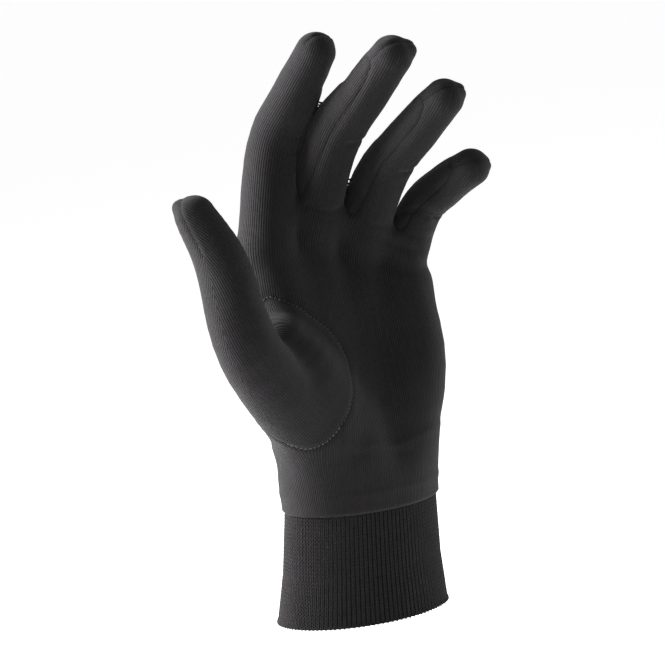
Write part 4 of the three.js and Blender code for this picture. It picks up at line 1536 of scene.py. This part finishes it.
    def _palm_folds(self, p: np.ndarray) -> np.ndarray:
        """Height of the creases in the palm side at the fingers' bases and the wrist.

        Args:
            p: Points in millimetres, one row each.

        Returns:
            Heights above the cloth's form.
        """
        sizes, rel = self.hand.sizes, p - self.hand.wrist
        across, up = rel @ self.hand.across / sizes.palm_width, rel @ self.hand.up / sizes.palm_length
        flat = np.stack([across, up], 1)
        scale = np.array([sizes.palm_width, sizes.palm_length])
        front_fade, steepness, least = (0.1, 0.4), 8, 0.15
        front = ramp(-(rel @ self.hand.back) / sizes.palm_thickness, *front_fade)
        rise = np.zeros(len(p))
        for fold in FOLDS:
            nearest = np.full(len(p), Row.FAR)
            walked = np.zeros(len(p))
            for i in range(len(fold.places) - 1):
                a, b = (np.array(fold.places[k]) * scale for k in (i, i + 1))
                step = b - a
                share = np.clip((flat * scale - a) @ step / (step @ step), 0, 1)
                far = np.linalg.norm(flat * scale - a - share[:, None] * step, axis=1)
                walked = np.where(far < nearest, (i + share) / (len(fold.places) - 1), walked)
                nearest = np.minimum(nearest, far)
            ends = np.clip(steepness * walked * (1 - walked) + least, 0, 1)
            rise -= fold.depth * front * ends * np.exp(-((nearest / fold.width) ** 2))
        return rise

    def _folds(self, p: np.ndarray) -> np.ndarray:
        """Height of the slow unevenness of cloth that isn't quite taut.

        Args:
            p: Points in millimetres, one row each.

        Returns:
            Heights above the cloth's form.
        """
        long, lesser = self.cloth.fold_length, 0.4
        short = lesser * long
        values = [noise.noise(Vector(q / long)) + lesser * noise.noise(Vector(q / short)) for q in p]
        return self.cloth.fold_height * np.array(values)

    def piece(self, name: str, panels: tuple[Panel, ...], material: bpy.types.Material) -> bpy.types.Object:
        """Makes one sewn piece: outside, inside and the rim between them, with its stitches as a UV map.

        Args:
            name: The piece's name.
            panels: The marks of its faces; the second of a pair is cut from the first at their seam.
            material: Its finish.

        Returns:
            The finished object.
        """
        chosen = np.isin(self.marks, [m.value for m in panels])
        faces, marks = self.faces[chosen], self.marks[chosen]
        if len(panels) == 2:
            joined = self._in_fold(self.points) if panels[0] is Panel.FRONT else self._off_thumb_line()
            second = marks == panels[1].value
            faces = np.where(second[:, None] & ~joined[faces], faces + len(self.points), faces)
        names, faces = np.unique(faces, return_inverse=True)
        faces = faces.reshape(-1, 4)
        source = names % len(self.points)
        uv = self._stitches(source, faces, panels)
        count = len(source)
        inner = faces[:, ::-1] + count
        rim = self._rim(faces, count)
        points = np.concatenate([self.outside[source], self.inside[source]]) * MM
        made = mesh_object(name, points, np.concatenate([faces, inner, rim]), material)
        add_uv(made.data, np.concatenate([uv, uv]))
        add_number(made.data, "seam_distance", np.tile(self.seam_distance[source], 2))
        made.data.set_sharp_from_angle(angle=math.radians(62))
        return made

    def _off_thumb_line(self) -> np.ndarray:
        """Which points of the thumb aren't on its own seam."""
        _, towards = self.seams.thumb_line(self.points)
        return towards <= 0

    @staticmethod
    def _rim(faces: np.ndarray, count: int) -> np.ndarray:
        """Faces that close the open edges between the outside and the inside.

        Args:
            faces: The outside's faces.
            count: How many points the outside has.

        Returns:
            The rim's faces.
        """
        pairs = np.concatenate([faces[:, [k, (k + 1) % 4]] for k in range(4)])
        key = pairs[:, 0].astype(np.int64) * count + pairs[:, 1]
        back = pairs[:, 1].astype(np.int64) * count + pairs[:, 0]
        a, b = pairs[~np.isin(key, back)].T
        return np.stack([b, a, a + count, b + count], 1)

    def _stitches(self, source: np.ndarray, faces: np.ndarray, panels: tuple[Panel, ...]) -> np.ndarray:
        """Numbers of wales and courses at a piece's points, laid out flat along the knit's grain.

        Args:
            source: The piece's points in the body's numbering.
            faces: Its outside faces.
            panels: Its panels.

        Returns:
            Two numbers for each point: wales across and courses along.
        """
        p, normals = self.points[source], self.normals[source]
        if panels[0] is Panel.THUMB_FRONT:
            way = self.hand.thumb.at(self.hand.thumb.measure(p, whole=True)[1])[1]
        else:
            way = self.hand.grain(p)
        way = unit(way - (way * normals).sum(1)[:, None] * normals)
        across = np.cross(way, normals)
        edges = edges_of(faces)
        step = p[edges[:, 1]] - p[edges[:, 0]]
        flat = []
        for axis, pitch in ((across, self.cloth.wale), (way, self.cloth.course)):
            mean = (axis[edges[:, 0]] + axis[edges[:, 1]]) / 2
            flat.append(unrolled(len(p), edges, (mean * step).sum(1)) / pitch)
        return np.stack(flat, 1)


@dataclass
class RibCuff:
    """The one by one rib cuff: a corrugated wall with a column of knit stitches on every rib."""

    hand: HandSizes
    lower_half_width: float = 40
    lower_half_depth: float = 27.5
    inset: float = 0.8
    thickness: float = 2
    rib_count: int = 112
    rib_depth: float = 0.9
    row_height: float = 1.5
    rib_points: int = 8
    gap_below_hem: float = 0.15
    wall_rings: int = 25
    wall_inset: float = 0.25
    rib_roundness: float = 0.6
    edge_groove: float = 0.35
    edge_height: float = 0.1
    flare_shares: tuple[float, ...] = (0, 0.05, 0.45, 1)
    flare_rises: tuple[float, ...] = (-0.1, 0.07, 0.65, 1)
    stitch_inset: float = 0.2
    leg_length: float = 1.5
    leg_width: float = 0.19
    leg_thickness: float = 0.2
    leg_foot: float = 0.09
    leg_spread: float = 0.25
    leg_pivot: float = 0.2
    leg_lean: float = 0.5
    leg_sides: int = 6
    leg_rings: tuple[tuple[float, float], ...] = ((-0.5, 0.2), (-0.25, 0.9), (0.2, 1.0), (0.5, 0.25))
    seed: int = 7

    def oval(self, share: np.ndarray, turn: np.ndarray, inward: np.ndarray | float) -> np.ndarray:
        """Points of the cuff's outside, moved inward.

        Args:
            share: Shares of its height.
            turn: Angles round it in radians.
            inward: How far each point lies inside the outline.

        Returns:
            The points, in millimetres.
        """
        upper = np.interp(share, self.flare_shares, self.flare_rises)
        top_width = self.hand.wrist_half_width - self.inset
        top_depth = self.hand.wrist_half_depth - self.inset
        width = self.lower_half_width + upper * (top_width - self.lower_half_width)
        depth = self.lower_half_depth + upper * (top_depth - self.lower_half_depth)
        normal = unit(np.stack([np.cos(turn) / width, np.sin(turn) / depth], -1))
        x = self.hand.wrist_shift * share + width * np.cos(turn) - inward * normal[..., 0]
        y = depth * np.sin(turn) - inward * normal[..., 1]
        z = share * (self.hand.cuff_height - self.gap_below_hem)
        return np.stack(np.broadcast_arrays(x, y, z), -1)

    def wall(self, material: bpy.types.Material) -> bpy.types.Object:
        """The wall: ribs outside, shallower at the lower edge, and a plain inside.

        Args:
            material: Its finish.

        Returns:
            The wall's piece.
        """
        columns = self.rib_count * self.rib_points
        turn = 2 * math.pi * np.arange(columns) / columns
        rib = 0.5 + 0.5 * np.cos(self.rib_count * turn)
        groove = self.rib_depth * (1 - rib**self.rib_roundness)
        shares = np.linspace(0, 1, self.wall_rings)
        depths = np.interp(shares, (0, self.edge_height), (self.edge_groove, 1))
        outer = [self.wall_inset + depth * groove for depth in depths]
        rings = [self.oval(np.full(columns, s), turn, inward) for s, inward in zip(shares, outer)]
        inner = [self.oval(np.full(columns, s), turn, self.thickness) for s in shares[::-1]]
        points = np.concatenate([*rings, *inner])
        count = len(rings) + len(inner)
        faces = []
        for i in range(count):
            a = i * columns + np.arange(columns)
            b = i * columns + np.roll(np.arange(columns), -1)
            c, d = (np.array([b, a]) + columns) % (count * columns)
            faces.append(np.stack([a, b, c, d], 1))
        made = mesh_object("rib_cuff_wall", points * MM, np.concatenate(faces), material)
        made.data.set_sharp_from_angle(angle=math.radians(50))
        return made

    def stitch(self, material: bpy.types.Material) -> bpy.types.Object:
        """One knit stitch: the two slanted legs of a loop, facing up its own z.

        Args:
            material: Its finish.

        Returns:
            The stitch, to be repeated.
        """
        pitch = 2 * math.pi * (self.lower_half_width + self.lower_half_depth) / 2 / self.rib_count
        long, sides, last = self.leg_length * self.row_height, self.leg_sides, len(self.leg_rings) - 1
        wide, thick = self.leg_width * pitch, self.leg_thickness * pitch
        points, faces = [], []
        for hand in (-1, 1):
            start = len(points)
            for place, size in self.leg_rings:
                middle = hand * (self.leg_foot + self.leg_spread * (place + 0.5)) * pitch
                for k in range(sides):
                    turn = 2 * math.pi * k / sides
                    height = size * thick * math.sin(turn) + self.leg_lean * (self.leg_pivot - place)
                    points.append((middle + size * wide * math.cos(turn), place * long, height))
            for ring in range(last):
                for k in range(sides):
                    a, b = start + ring * sides + k, start + ring * sides + (k + 1) % sides
                    faces.append((a, b, b + sides, a + sides))
            faces.append(tuple(start + k for k in reversed(range(sides))))
            faces.append(tuple(start + last * sides + k for k in range(sides)))
        return mesh_object("knit_stitch", np.array(points) * MM, faces, material)

    def spots(self) -> tuple[np.ndarray, np.ndarray]:
        """Lays the stitches out on the ribs.

        Returns:
            Their places, and how each is turned.
        """
        rows = int((self.hand.cuff_height - self.gap_below_hem) / self.row_height)
        shares = (np.arange(rows) + 0.5) / rows
        turn = 2 * math.pi * np.arange(self.rib_count) / self.rib_count
        share, turn = (a.ravel() for a in np.meshgrid(shares, turn, indexing="ij"))
        here = self.oval(share, turn, self.stitch_inset)
        up = unit(self.oval(share + 0.01, turn, self.stitch_inset) - here)
        out = unit(here - self.oval(share, turn, self.stitch_inset + 1))
        side = unit(np.cross(up, out))
        out = np.cross(side, up)
        turns = [Matrix((side[i], up[i], out[i])).transposed().to_euler() for i in range(len(here))]
        return here, np.array([tuple(t) for t in turns])


def repeat_tree() -> bpy.types.NodeTree:
    """Builds the Geometry Nodes that set one object on every point.

    Returns:
        The tree, which turns each copy by its point's own angles and a little at random.
    """
    tree = bpy.data.node_groups.new("RepeatOnPoints", "GeometryNodeTree")
    face = tree.interface
    face.new_socket("Geometry", in_out="INPUT", socket_type="NodeSocketGeometry")
    face.new_socket("Stitch", in_out="INPUT", socket_type="NodeSocketObject")
    face.new_socket("Material", in_out="INPUT", socket_type="NodeSocketMaterial")
    for name in ("Wobble", "Size Change"):
        face.new_socket(name, in_out="INPUT", socket_type="NodeSocketFloat")
    face.new_socket("Seed", in_out="INPUT", socket_type="NodeSocketInt")
    face.new_socket("Geometry", in_out="OUTPUT", socket_type="NodeSocketGeometry")
    n = Nodes(tree)
    given = n.add("NodeGroupInput").outputs
    stitch = n.add("GeometryNodeObjectInfo", {"Object": given["Stitch"]}).outputs["Geometry"]
    turn = n.add("GeometryNodeInputNamedAttribute", {"Name": "turn"}, data_type="FLOAT_VECTOR").outputs[0]
    lowest = n.math("MULTIPLY", given["Wobble"], -1.0)
    turns = {0: lowest, 1: given["Wobble"], "Seed": given["Seed"]}
    wobble = n.add("FunctionNodeRandomValue", turns, data_type="FLOAT_VECTOR")
    angles = n.add("ShaderNodeVectorMath", {0: turn, 1: wobble.outputs[0]}, operation="ADD").outputs[0]
    rotation = n.add("FunctionNodeEulerToRotation", {0: angles}).outputs[0]
    changes = {
        2: n.math("SUBTRACT", 1.0, given["Size Change"]),
        3: n.math("ADD", 1.0, given["Size Change"]),
        "Seed": n.math("ADD", given["Seed"], 1.0),
    }
    sizes = n.add("FunctionNodeRandomValue", changes, data_type="FLOAT")
    points = n.add("GeometryNodeMeshToPoints", {"Mesh": given["Geometry"]}).outputs[0]
    placed = n.add(
        "GeometryNodeInstanceOnPoints",
        {"Points": points, "Instance": stitch, "Rotation": rotation, "Scale": sizes.outputs[1]},
    ).outputs[0]
    real = n.add("GeometryNodeRealizeInstances", {"Geometry": placed}).outputs[0]
    done = n.add("GeometryNodeSetMaterial", {"Geometry": real, "Material": given["Material"]}).outputs[0]
    n.add("NodeGroupOutput", {"Geometry": done})
    return tree


def set_on_points(
    name: str,
    tree: bpy.types.NodeTree,
    spots: np.ndarray,
    turns: np.ndarray,
    stitch: bpy.types.Object,
    values: dict[str, float],
) -> bpy.types.Object:
    """Sets copies of a stitch on points through Geometry Nodes and keeps the result as a plain mesh.

    Args:
        name: The new piece's name.
        tree: The tree that repeats the stitch.
        spots: Points in millimetres.
        turns: Euler angles of each copy.
        stitch: The object that is repeated, removed afterwards.
        values: The tree's other named inputs.

    Returns:
        The finished object.
    """
    carrier = mesh_object(name, spots * MM, [], stitch.data.materials[0])
    layer = carrier.data.attributes.new("turn", "FLOAT_VECTOR", "POINT")
    layer.data.foreach_set("vector", turns.astype(np.float32).ravel())
    modifier = carrier.modifiers.new("Repeat", "NODES")
    modifier.node_group = tree
    given = {"Stitch": stitch, "Material": stitch.data.materials[0], **values}
    for item in tree.interface.items_tree:
        if item.in_out == "INPUT" and item.name in given:
            modifier[item.identifier] = given[item.name]
    graph = bpy.context.evaluated_depsgraph_get()
    graph.update()
    mesh = bpy.data.meshes.new_from_object(carrier.evaluated_get(graph), depsgraph=graph)
    carrier.modifiers.remove(modifier)
    carrier.data = mesh
    mesh.polygons.foreach_set("use_smooth", np.ones(len(mesh.polygons), bool))
    bpy.data.objects.remove(stitch)
    return carrier


@dataclass
class SeamThread:
    """Short stitches of sewing thread along the thumb's oval seam."""

    seams: Seams
    spacing: float = 1.9
    length: float = 1.35
    radius: float = 0.17
    lift: float = -0.28
    seed: int = 3
    sides: int = 6
    rings: tuple[tuple[float, float], ...] = (
        (-0.5, 0.3),
        (-0.36, 0.9),
        (0.0, 1.0),
        (0.36, 0.9),
        (0.5, 0.3),
    )

    def stitch(self, material: bpy.types.Material) -> bpy.types.Object:
        """One stitch: a short rounded rod along its own x.

        Args:
            material: Its finish.

        Returns:
            The stitch, to be repeated.
        """
        sides, last = self.sides, len(self.rings) - 1
        points, faces = [], []
        for place, size in self.rings:
            for k in range(sides):
                turn = 2 * math.pi * k / sides
                y, z = (size * self.radius * way for way in (math.cos(turn), math.sin(turn)))
                points.append((place * self.length, y, z))
        for ring in range(last):
            for k in range(sides):
                a, b = ring * sides + k, ring * sides + (k + 1) % sides
                faces.append((a, a + sides, b + sides, b))
        faces.append(tuple(range(sides)))
        faces.append(tuple(last * sides + k for k in reversed(range(sides))))
        return mesh_object("thread_stitch", np.array(points) * MM, faces, material)

    def spots(self, start: float, end: float) -> tuple[np.ndarray, np.ndarray]:
        """Lays the stitches out evenly on the thumb's seam.

        Args:
            start: The turn where they start, in degrees.
            end: The turn where they end.

        Returns:
            Their places, and how each is turned.
        """
        loop = self.seams.thumb_loop(np.linspace(start, end, 200))
        walked = np.concatenate([[0], np.cumsum(np.linalg.norm(np.diff(loop, axis=0), axis=1))])
        places = np.arange(self.spacing / 2, walked[-1], self.spacing)
        here = np.stack([np.interp(places, walked, loop[:, k]) for k in range(3)], 1)
        beside = 0.3
        ahead = np.stack([np.interp(places + beside, walked, loop[:, k]) for k in range(3)], 1)
        behind = np.stack([np.interp(places - beside, walked, loop[:, k]) for k in range(3)], 1)
        along = unit(ahead - behind)
        out = unit(self.seams.hand.slope(here)[1])
        side = unit(np.cross(out, along))
        out = np.cross(along, side)
        turns = [Matrix((along[i], side[i], out[i])).transposed().to_euler() for i in range(len(here))]
        return here + self.lift * out, np.array([tuple(t) for t in turns])


@dataclass(frozen=True)
class Lamp:
    """An area light: its way from the target along the camera's directions, and its sizes in metres."""

    name: str
    way: tuple[float, float, float]
    far: float
    size: float
    power: float


@dataclass
class Studio:
    """A pale floor, soft light and the photograph's viewing angle."""

    azimuth: float = -38
    elevation: float = 8
    roll: float = -4
    distance: float = 1200
    target: tuple[float, float, float] = (0, 0, 120)
    millimetres_per_pixel: float = 0.415
    picture_side: int = 665
    target_pixel: tuple[float, float] = (344, 327.3)
    floor_level: float = -160
    sensor: float = 36
    surround: float = 0.6
    floor_side: float = 20.0
    lamps: tuple[Lamp, ...] = (
        Lamp("key", (-1.0, 0.3, -0.03), 1.1, 0.6, 60),
        Lamp("rim", (0.9, 0.15, -0.6), 1.1, 0.5, 3),
    )

    def axes(self) -> tuple[np.ndarray, np.ndarray, np.ndarray]:
        """Works out the way the camera looks.

        Returns:
            The camera's right, up and back directions.
        """
        a, e, c = (math.radians(v) for v in (self.azimuth, self.elevation, self.roll))
        right = np.array([math.cos(a), math.sin(a), 0])
        back = np.array([math.sin(a) * math.cos(e), -math.cos(a) * math.cos(e), math.sin(e)])
        up = np.cross(back, right)
        return math.cos(c) * right + math.sin(c) * up, math.cos(c) * up - math.sin(c) * right, back

    def camera(self) -> None:
        """Puts the camera where the photograph's was."""
        right, up, back = self.axes()
        data = bpy.data.cameras.new("camera")
        data.sensor_width = self.sensor
        data.lens = self.sensor * self.distance / (self.millimetres_per_pixel * self.picture_side)
        data.shift_x = (self.picture_side / 2 - self.target_pixel[0]) / self.picture_side
        data.shift_y = (self.target_pixel[1] - self.picture_side / 2) / self.picture_side
        data.clip_end = 50
        camera = bpy.data.objects.new("camera", data)
        place = (np.array(self.target) + self.distance * back) * MM
        matrix = np.eye(4)
        matrix[:3, :3] = np.stack([right, up, back], 1)
        matrix[:3, 3] = place
        camera.matrix_world = Matrix(matrix)
        bpy.context.scene.collection.objects.link(camera)
        bpy.context.scene.camera = camera

    def light(self, lamp: Lamp) -> None:
        """Sets up an area light that faces the target.

        Args:
            lamp: Its place, size and power.
        """
        towards = unit(np.array(lamp.way) @ np.stack(self.axes()))
        data = bpy.data.lights.new(lamp.name, "AREA")
        data.size = lamp.size
        data.energy = lamp.power
        made = bpy.data.objects.new(lamp.name, data)
        made.location = Vector(np.array(self.target) * MM + lamp.far * towards)
        made.rotation_euler = Vector(towards).to_track_quat("Z", "Y").to_euler()
        bpy.context.scene.collection.objects.link(made)

    def floor(self) -> bpy.types.Object:
        """A wide pale floor below the glove, which is held up.

        Returns:
            The floor.
        """
        material, _, shader = new_material("pale_floor")
        shader.inputs["Base Color"].default_value = (0.97, 0.97, 0.97, 1)
        shader.inputs["Roughness"].default_value = 0.9
        shader.inputs["Emission Color"].default_value = (1, 1, 1, 1)
        shader.inputs["Emission Strength"].default_value = 1.0 - self.surround
        side = self.floor_side
        corners = np.array([(-side, -side, 0), (side, -side, 0), (side, side, 0), (-side, side, 0)])
        corners[:, 2] = self.floor_level * MM
        return mesh_object("floor", corners, [(0, 1, 2, 3)], material)

    def world(self) -> None:
        """An even white surrounding."""
        world = bpy.data.worlds.new("white_studio")
        world.use_nodes = True
        world.node_tree.nodes["Background"].inputs["Color"].default_value = (1, 1, 1, 1)
        world.node_tree.nodes["Background"].inputs["Strength"].default_value = self.surround
        bpy.context.scene.world = world

    def build(self) -> None:
        """Sets up the camera, lights, world and floor."""
        bpy.context.scene.view_settings.view_transform = "Standard"
        self.camera()
        self.world()
        for lamp in self.lamps:
            self.light(lamp)
        self.floor()


BODY_PIECES = (
    ("trank", (Panel.FRONT, Panel.BACK), ("palm_panel", "back_panel")),
    ("thumb_piece", (Panel.THUMB_FRONT, Panel.THUMB_BACK), ("thumb",)),
    ("strip_index_middle", (Panel.INDEX_MIDDLE,), ("fourchette_index_middle",)),
    ("strip_middle_ring", (Panel.MIDDLE_RING,), ("fourchette_middle_ring",)),
    ("strip_ring_little", (Panel.RING_LITTLE,), ("fourchette_ring_little",)),
)

THUMB_THREADS = (
    ("thumb_stitches_pale", (0.1, 0.095, 0.09), 226, 268),
    ("thumb_stitches_dark", (0.03, 0.028, 0.03), 66, 225),
)


def report(piece: bpy.types.Object) -> None:
    """Logs a finished piece."""
    LOG.info("%s: %d faces", piece.name, len(piece.data.polygons))


def make_body(seams: Seams, jersey: bpy.types.Material) -> None:
    """Makes the body's sewn pieces.

    Args:
        seams: Where they meet.
        jersey: Their finish.
    """
    body = GloveBody(seams.hand, seams)
    for name, panels, nodes in BODY_PIECES:
        piece = body.piece(name, panels, jersey)
        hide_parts(*nodes)
        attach(piece, "root")
        report(piece)


def make_cuff(cuff: RibCuff, yarn: bpy.types.NodeTree, repeat: bpy.types.NodeTree) -> None:
    """Makes the cuff's wall, and its stitches on the palm's and the back's side.

    Args:
        cuff: The cuff.
        yarn: The group of yarn variation.
        repeat: The tree that repeats a stitch.
    """
    rib = RibYarn().make("rib_yarn", yarn)
    # The wall behind the stitches gets the yarn in a darker copy as painted shade.
    wall = cuff.wall(RibYarn().make("rib_wall_painted_shade", yarn, deep=True))
    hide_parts("rib_cuff")
    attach(wall, "root")
    report(wall)
    spots, turns = cuff.spots()
    changes = {"Wobble": 0.06, "Size Change": 0.05, "Seed": cuff.seed}
    for name, here in (("rib_stitches_palm", spots[:, 1] < 0), ("rib_stitches_back", spots[:, 1] >= 0)):
        knitted = set_on_points(name, repeat, spots[here], turns[here], cuff.stitch(rib), changes)
        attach(knitted, "root")
        report(knitted)


def make_thumb_thread(thread: SeamThread, repeat: bpy.types.NodeTree) -> None:
    """Makes the stitches of sewing thread round the thumb.

    Args:
        thread: The seam's thread.
        repeat: The tree that repeats a stitch.
    """
    changes = {"Wobble": 0.12, "Size Change": 0.15, "Seed": thread.seed}
    for name, colour, start, end in THUMB_THREADS:
        stitch = thread.stitch(Thread(colour).make(name))
        row = set_on_points(name, repeat, *thread.spots(start, end), stitch, changes)
        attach(row, "root")
        report(row)


def main() -> None:
    """Builds the glove piece by piece and reports each."""
    logging.basicConfig(level=logging.INFO, format="%(message)s")
    Studio().build()
    yarn = cloth_group()
    hand = Hand()
    seams = Seams(hand)
    make_body(seams, Jersey().make("jersey", knit_group(), yarn))
    repeat = repeat_tree()
    make_cuff(RibCuff(hand.sizes), yarn, repeat)
    make_thumb_thread(SeamThread(seams), repeat)


if __name__ == "__main__":
    main()
